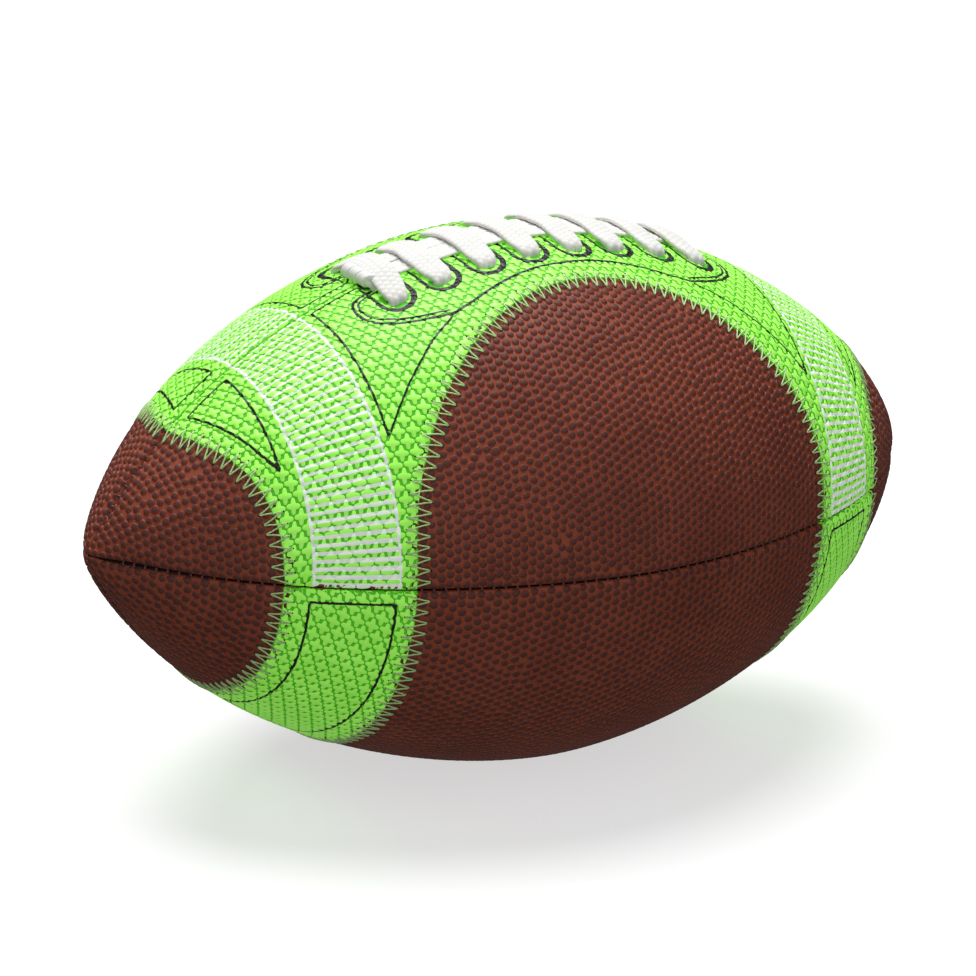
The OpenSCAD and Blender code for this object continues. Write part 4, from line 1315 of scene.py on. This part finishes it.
def lace_route(wide, thick):
    """The lace's stops: place, the way its width leans, width and thickness, in mm about the axis."""
    draw = np.random.default_rng(11)
    run_height = FILM_TOP + 0.03 + thick / 2
    bunched_w, eased_w = 0.62 * wide, 0.8 * wide
    back_lean, front_lean, cross_lean = (1, 0), (-1, 0), (0, 1)

    def across(x, arc):
        t = arc / ball_r(x)
        return np.array((0, -math.cos(t), -math.sin(t)))

    def along(x, arc):
        t = arc / ball_r(x)
        return np.array((1, -ball_slope(x) * math.sin(t), ball_slope(x) * math.cos(t)))

    def stop(x, arc, height, lean, w, t):
        turn, r = arc / ball_r(x), ball_r(x, -height)
        place = (x, -r * math.sin(turn), r * math.cos(turn))
        return (*place, *(lean[0] * across(x, arc) + lean[1] * along(x, arc)), w, t)

    stops = []
    # The rolled end lies about an axis across the ball. A smooth curve cuts the corners between its
    # stops, so they lie a little further out.
    roll_height = (FILM_TOP + ROLL_R + ROLL_THICK / 2) / math.cos(math.atan(ball_slope(ROLL_X)))
    stop_r = ROLL_R * 6 / (4 + 2 * math.cos(math.tau / 8))
    for k in range(ROLL_STOPS - 1, -1, -1):
        turn = math.radians(270 - k * 45)
        arc = ROLL_START + ROLL_PITCH * k / 8
        coil = stop_r * min(1.0, 0.1 + (ROLL_STOPS - 1 - k) / ROLL_TUCKED)
        t = arc / ball_r(ROLL_X)
        r = ball_r(ROLL_X) + roll_height + coil * math.sin(turn)
        place = (ROLL_X + coil * math.cos(turn), -r * math.sin(t), r * math.cos(t))
        stops.append((*place, *across(ROLL_X, arc), ROLL_WIDTH, ROLL_THICK))
    # Two runs along the seam, side by side, and the fold between them under the last cross
    turn_x = -FIRST_CROSS + 0.4
    run_from = ROLL_X + ROLL_R + thick
    steps = CROSSES + 4
    step = (turn_x - run_from) / steps

    def on_run(k, arc, lean):
        x = run_from + k * step
        w = ROLL_WIDTH if k == 0 else bunched_w if k == steps else RUN_WIDTH
        return stop(x, np.interp(x, *WANDER) + arc, run_height + draw.normal(0, 0.05), lean, w, thick)

    stops += [on_run(k, -RUN_ARC, back_lean) for k in range(steps + 1)]
    for degrees in range(-60, 61, 30):
        a = math.radians(degrees)
        stops.append(stop(turn_x + FOLD_R * math.cos(a), RUN_ARC * 1.1 * math.sin(a), run_height,
                          (-math.sin(a), -math.cos(a)), bunched_w, thick))
    stops += [on_run(k, RUN_ARC, front_lean) for k in range(steps, 2, -1)]
    # Down through the end eyelet with a quarter twist
    for x, arc, height, lean, w in (
            (EYELET_X + CROSS_PITCH / 2, RUN_ARC - 0.9, run_height, front_lean, RUN_WIDTH),
            (EYELET_X + wide / 2, EYELET_ARC, run_height, front_lean, eased_w),
            (EYELET_X, EYELET_ARC, run_height - 0.5, front_lean, bunched_w),
            (EYELET_X, EYELET_ARC, -SKIN_WALL / 2, front_lean, bunched_w),
            (EYELET_X, EYELET_ARC, -INNER_DEPTH, (-0.65, 0.35), bunched_w),
            (EYELET_X, EYELET_ARC, -FACING_DEPTH, (-0.2, 0.8), bunched_w),
            (EYELET_X, EYELET_ARC - 0.5, -UNDER_LACE, cross_lean, bunched_w),
            (EYELET_X, EYELET_ARC - wide / 2, -UNDER_LACE, cross_lean, bunched_w),
            (EYELET_X, -HOLE_ARC * 0.3, -UNDER_LACE, cross_lean, bunched_w),
            (FIRST_CROSS, -HOLE_ARC * 0.7, -UNDER_LACE, cross_lean, bunched_w)):
        stops.append(stop(x, arc, height, lean, w, thick))
    # The crosses, no two pulled quite alike, and the passes under the covers
    for k in range(CROSSES):
        x = FIRST_CROSS + k * CROSS_PITCH
        lift, shift, slant = draw.normal(0, 0.12), draw.normal(0, 0.25), draw.normal(0, 0.3)
        lift, shift = END_CROSSES.get(k, (lift, shift))
        for side, half in ((-1, BACK_SIDE[::-1]), (1, FRONT_SIDE)):
            for arc, height, w, t in half:
                free = max(0.0, 1 - (arc / 15) ** 2) if height > 0 else 0.0
                stops.append(stop(x + free * (shift + side * slant), side * arc, height + free * lift,
                                  cross_lean, w, t))
        if k < CROSSES - 1:
            under = [((1 - share) * CROSS_PITCH, HOLE_ARC * (2 * share - 1)) for share in (0.82, 0.5, 0.18)]
        else:
            under = [((1 - share) * wide, HOLE_ARC * share) for share in (0.8, 0.5, 0.2)]
        stops += [stop(x + dx, arc, -UNDER_LACE, cross_lean, eased_w, thick) for dx, arc in under]
    return np.array(stops)


# Steps along the lace where it shows and where it doesn't (mm)
SHOWN_STEP, HIDDEN_STEP = 0.33, 1.4


def lace_frames(stops):
    """Fine places along the smooth curve by the stops, closer together where the lace shows, and
    how much of each is in the rolled end."""
    shares = []
    for k in range(len(stops) - 3):
        middle = stops[k + 1:k + 3, :3].mean(axis=0)
        length = np.linalg.norm(stops[k + 2, :3] - stops[k + 1, :3])
        shown = math.hypot(middle[1], middle[2]) > ball_r(middle[0]) - 0.8
        count = max(2, int(math.ceil(length / (SHOWN_STEP if shown else HIDDEN_STEP))))
        shares += [(k, i / count) for i in range(count)]
    k = np.array([item[0] for item in shares])
    f = np.array([item[1] for item in shares])[:, None]
    weights = ((1 - f) ** 3 / 6, (3 * f ** 3 - 6 * f ** 2 + 4) / 6,
               (-3 * f ** 3 + 3 * f ** 2 + 3 * f + 1) / 6, f ** 3 / 6)
    values = sum(weight * stops[k + i] for i, weight in enumerate(weights))
    rolled = np.clip((ROLL_STOPS - 1 - (k + f[:, 0])) / 1.5, 0, 1)
    return values, rolled


LACE_SIDES = 48
LACE_COLUMNS = 4.0
# The section's width over its thickness, and how square its sides, its faces and the roll's faces are
SECTION_RATIO = 3.4
SIDE_POWER, FACE_POWER, ROLL_POWER = 0.6, 0.75, 0.45
# The middle of the plaits' relief, which the roll keeps all over
RELIEF_MIDDLE = 0.6


def squared(value, power):
    """A round's cosine or sine drawn out towards a square's."""
    return np.sign(value) * np.abs(value) ** power


def lace_mesh(lace):
    values, rolled = lace_frames(lace_route(lace.width / MM, lace.thickness / MM))
    place, lean, w, t = values[:, :3], values[:, 3:6], values[:, 6:7], values[:, 7:]
    rolled = rolled[:, None]
    way = unit(np.gradient(place, axis=0))
    wide = unit(lean - (lean * way).sum(axis=1, keepdims=True) * way)
    thick = np.cross(way, wide)
    # Points round the section, even along its girth
    fine = np.linspace(0, math.tau, 2001)
    girth = run_length(np.stack([squared(np.cos(fine), SIDE_POWER) * SECTION_RATIO, np.sin(fine)], axis=1))
    even = np.interp(np.arange(LACE_SIDES) / LACE_SIDES * girth[-1], girth, fine)
    across = squared(np.cos(even), SIDE_POWER)
    through = squared(np.sin(even), FACE_POWER + (ROLL_POWER - FACE_POWER) * rolled)
    # Plaits in columns, each column half a plait on from the last; the roll's are pulled smooth
    column = (across + 1) / 2 * LACE_COLUMNS
    number = np.clip(np.floor(column), 0, LACE_COLUMNS - 1)
    row = (run_length(place)[:, None] / (lace.plait / MM) + 0.5 * (number % 2)) % 1
    pillow = (0.5 - 0.5 * np.cos(math.tau * row)) * np.sin(math.pi * (column - number)) ** 0.8
    relief = pillow * (1 - rolled) + RELIEF_MIDDLE * rolled
    lift = 1 + (relief - RELIEF_MIDDLE) * (lace.plait_rise / MM) / (t / 2)
    ring = (place[:, None] + wide[:, None] * (across * w / 2)[..., None]
            + thick[:, None] * (through * t / 2 * lift)[..., None])
    ring = (ring + np.array((0, 0, BELLY))) * MM
    shape = tube(ring)
    layer = shape.verts.layers.float.new("plait")
    marks = np.concatenate([relief, relief[:, :1]], axis=1).T.ravel()
    for vert, mark in zip(shape.verts, marks):
        vert[layer] = float(mark)
    return made_mesh("lace_braid", closed_tube(shape, 1e-7))


class FOOTBALL_OT_lace(bpy.types.Operator):
    """Thread the braided lace through its holes"""
    bl_idname = "football.lace"
    bl_label = "Lace"

    def execute(self, context):
        lace = context.scene.football_lace
        piece("braided_lace", lace_mesh(lace), lace_material(lace), "lace", "lace")
        return {"FINISHED"}


# ---- inside ----------------------------------------------------------------------------------------

def strip(name, half_length, from_arc, to_arc, outer, inner, rows=20, columns=60):
    """A strip of webbing along the lace seam between two depths."""
    def place(u, v, is_outer):
        s = (2 * u - 1) * skin_s(half_length)
        turn = (to_arc + (from_arc - to_arc) * v) / skin_r(s)
        return on_skin(s, turn, np.where(is_outer, -outer, -inner))

    return sheet(name, columns, rows, place)


def bladder_depth(s, turn, more):
    """How deep the bladder's skin lies: pressed in by the turned seams, the facings and the guard,
    from whose edges it comes back out over a few millimetres."""
    x, arc = np.abs(skin_x(s)), np.abs((turn + math.pi) % math.tau - math.pi) * skin_r(s)
    pressed = 2.4 * np.exp(-(seam_distance(s, turn) / 2.6) ** 4)
    for reach, side, depth in ((FACING_REACH, FACING_TO, FACING_DEPTH),
                               (GUARD_REACH, GUARD_HALF, GUARD_DEPTH)):
        past = np.maximum(x - reach, arc - side)
        pressed = np.maximum(pressed, (depth + 0.2 - INNER_DEPTH) / (1 + np.exp((past - 2.0) / 0.6)))
    return INNER_DEPTH + 0.1 + pressed + more


def bladder_mesh():
    """A blown skin: a ball shaped to its depth, and the same turned inside out for its inner face."""
    faces = bmesh.new()
    for more in (0.0, BLADDER_WALL):
        ball = bmesh.new()
        bmesh.ops.create_uvsphere(ball, u_segments=128, v_segments=112, radius=1.0)
        flat = np.array([v.co[:] for v in ball.verts])
        # The round ends stay 4.5 mm short of the tips of the covers
        s = (REACH - 4.5) * np.arcsin(np.clip(flat[:, 2], -1, 1)) / QUARTER
        turn = np.arctan2(flat[:, 1], flat[:, 0])
        depth = np.minimum(bladder_depth(s, turn, more), skin_r(s) * 0.9)
        for vert, point in zip(ball.verts, on_skin(s, turn, -depth)):
            vert.co = point
        bmesh.ops.recalc_face_normals(ball, faces=ball.faces[:])
        if more:
            bmesh.ops.reverse_faces(ball, faces=ball.faces[:])
        faces.from_mesh(made_mesh("shell", ball))
    return made_mesh("bladder", faces)


class FOOTBALL_OT_inside(bpy.types.Operator):
    """Make what the covers hold inside, and finish the valve"""
    bl_idname = "football.inside"
    bl_label = "Inside and valve"

    def execute(self, context):
        cloth = cloth_material("cotton_duck_lining", linear("#d8cfb8"), 0.5)
        webbing = cloth_material("grey_facing_duck", linear("#5a5a58"), 0.6)
        butyl = rubber_material("butyl_bladder_rubber", linear("#262626"), 0.6)
        lining = (-SKIN_WALL - 0.02, -SKIN_WALL - LINING_WALL, 0.0, 0.3, 48, 96)
        for end in ("back", "front"):
            holes = lace_holes(end)
            made = {
                f"top_{end}_lining": cut(panel_sheet("lining", 0.0, *lining), hole_cutters(holes)),
                f"bottom_{end}_lining": panel_sheet("lining", QUARTER, *lining),
                f"{end}_lace_facing": cut(strip("facing", FACING_REACH, FACING_FROM, FACING_TO,
                                                INNER_DEPTH + 0.02, FACING_DEPTH), hole_cutters(holes)),
            }
            if end == "back":
                made["bottom_back_lining"] = cut(made["bottom_back_lining"], valve_cutter())
            for node, mesh in made.items():
                word, stuff, slot = (("_webbing", webbing, "facing") if node.endswith("facing")
                                     else ("_cloth", cloth, "lining"))
                piece(node + word, turned_round(mesh) if end == "back" else mesh, stuff, slot, node)
        guard = strip("guard", GUARD_REACH, -GUARD_HALF, GUARD_HALF, GUARD_TOP, GUARD_DEPTH, 30)
        piece("lace_guard_webbing", guard, webbing, "guard", "lace_guard")
        # The valve is on the back, so its cutter is turned round with the bladder
        skin = cut(bladder_mesh(), turned_round(valve_cutter()))
        piece("blown_bladder_skin", skin, butyl, "bladder", "bladder")
        for name, tone, gloss in (("valve_housing", "#2b2b2b", 0.5), ("valve_core", "#3c3c3c", 0.45)):
            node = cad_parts[name].data
            node.materials.clear()
            node.materials.append(rubber_material("moulded_" + name + "_rubber", linear(tone), gloss))
        return {"FINISHED"}


# ---- stage -----------------------------------------------------------------------------------------

# The camera as fitted to the photograph: angles in radians, distance in mm, the rest in pixels
CAMERA_AZIMUTH = -0.5875
CAMERA_HEIGHT = 0.3322
CAMERA_ROLL = 0.0573
CAMERA_DISTANCE = 1364.2
LENS_PIXELS = 4820.26
IMAGE_PIXELS = 976
CENTRE_PIXELS = (505.21, 488.67)
SENSOR_WIDTH = 36


class FOOTBALL_OT_camera(bpy.types.Operator):
    """Set the camera to the photograph's view"""
    bl_idname = "football.camera"
    bl_label = "Camera"

    def execute(self, context):
        a, e = CAMERA_AZIMUTH, CAMERA_HEIGHT
        back = Vector((math.sin(a) * math.cos(e), -math.cos(a) * math.cos(e), math.sin(e)))
        right = Vector((math.cos(a), math.sin(a), 0))
        up = back.cross(right)
        x_axis = math.cos(CAMERA_ROLL) * right + math.sin(CAMERA_ROLL) * up
        y_axis = -math.sin(CAMERA_ROLL) * right + math.cos(CAMERA_ROLL) * up
        camera = bpy.data.objects.new("photo_camera", bpy.data.cameras.new("photo_camera"))
        place = Vector((0, 0, BELLY)) * MM + back * CAMERA_DISTANCE * MM
        facing = Matrix((x_axis, y_axis, back)).transposed().to_4x4()
        camera.matrix_world = Matrix.Translation(place) @ facing
        camera.data.sensor_width = SENSOR_WIDTH
        camera.data.lens = SENSOR_WIDTH * LENS_PIXELS / IMAGE_PIXELS
        camera.data.shift_x = (IMAGE_PIXELS / 2 - CENTRE_PIXELS[0]) / IMAGE_PIXELS
        camera.data.shift_y = (CENTRE_PIXELS[1] - IMAGE_PIXELS / 2) / IMAGE_PIXELS
        camera.data.clip_start, camera.data.clip_end = 0.05, 50
        context.scene.collection.objects.link(camera)
        context.scene.camera = camera
        return {"FINISHED"}


# Where the broad fill stands and where the lamp hangs, seen from the ball, and half of the floor (m)
FILL_SIDE = Vector((-0.419, -0.815, 0.399)).normalized()
LAMP_SIDE = Vector((0.08, 0.317, 0.906)).normalized()
FLOOR_HALF = 6.0


class FOOTBALL_OT_stage(bpy.types.Operator):
    """Lay the pale floor and hang the soft lights"""
    bl_idname = "football.stage"
    bl_label = "Stage"

    def execute(self, context):
        stage = context.scene.football_stage
        shape = bmesh.new()
        bmesh.ops.create_grid(shape, x_segments=1, y_segments=1, size=FLOOR_HALF)
        floor = bpy.data.objects.new("floor", made_mesh("floor", shape))
        floor.data.materials.append(floor_material(stage.floor, stage.glow))
        context.scene.collection.objects.link(floor)
        # The paper glows from below, as on a light table, but throws no light back up on the ball
        floor.visible_diffuse = False
        floor.visible_glossy = False
        world = bpy.data.worlds.new("studio")
        world.use_nodes = True
        tree = world.node_tree
        way = add_node(tree, "ShaderNodeTexCoord").outputs["Generated"]
        dot = add_node(tree, "ShaderNodeVectorMath", {0: way, 1: FILL_SIDE}, operation="DOT_PRODUCT")
        facing = dot.outputs["Value"]
        # The wall behind the camera gives the fill, and the far wall a quarter as much
        share = math_node(tree, "MULTIPLY_ADD", math_node(tree, "SIGN", facing), 0.375, 0.625)
        lobe = math_node(tree, "MULTIPLY", math_node(tree, "MULTIPLY", facing, facing), share)
        light = math_node(tree, "MULTIPLY_ADD", lobe, stage.fill, stage.ambient)
        back = tree.nodes["Background"]
        back.inputs["Color"].default_value = (1, 1, 1, 1)
        seen = add_node(tree, "ShaderNodeLightPath").outputs["Is Camera Ray"]
        tree.links.new(math_node(tree, "MAXIMUM", light, seen), back.inputs["Strength"])
        context.scene.world = world
        lamp = bpy.data.lights.new("overhead", "SUN")
        lamp.energy, lamp.angle = stage.key, stage.key_width
        light = bpy.data.objects.new("overhead", lamp)
        light.matrix_world = LAMP_SIDE.to_track_quat("Z", "Y").to_matrix().to_4x4()
        context.scene.collection.objects.link(light)
        context.scene.view_settings.view_transform = "Standard"
        return {"FINISHED"}


class FOOTBALL_PT_panel(bpy.types.Panel):
    """Steps of the football, in order"""
    bl_idname = "FOOTBALL_PT_panel"
    bl_label = "Football"
    bl_space_type = "VIEW_3D"
    bl_region_type = "UI"
    bl_category = "Football"

    def draw(self, context):
        for step in STEPS:
            self.layout.operator(step.bl_idname)
        for name, group in GROUPS.items():
            box = self.layout.box()
            box.label(text=group.__doc__)
            for prop in group.__annotations__:
                box.prop(getattr(context.scene, name), prop)


GROUPS = {
    "football_covers": FootballCovers,
    "football_grips": FootballGrips,
    "football_stitching": FootballStitching,
    "football_lace": FootballLace,
    "football_stage": FootballStage,
}
STEPS = (FOOTBALL_OT_camera, FOOTBALL_OT_covers, FOOTBALL_OT_grips, FOOTBALL_OT_stitching,
         FOOTBALL_OT_lace, FOOTBALL_OT_inside, FOOTBALL_OT_stage)


def register():
    for item in (*GROUPS.values(), *STEPS, FOOTBALL_PT_panel):
        bpy.utils.register_class(item)
    for name, group in GROUPS.items():
        setattr(bpy.types.Scene, name, bpy.props.PointerProperty(type=group))


def unregister():
    for name in GROUPS:
        delattr(bpy.types.Scene, name)
    for item in reversed((*GROUPS.values(), *STEPS, FOOTBALL_PT_panel)):
        bpy.utils.unregister_class(item)


def main():
    register()
    bpy.ops.football.camera()
    bpy.ops.football.covers()
    bpy.ops.football.grips()
    bpy.ops.football.stitching()
    bpy.ops.football.lace()
    bpy.ops.football.inside()
    bpy.ops.football.stage()


if __name__ == "__main__":
    main()
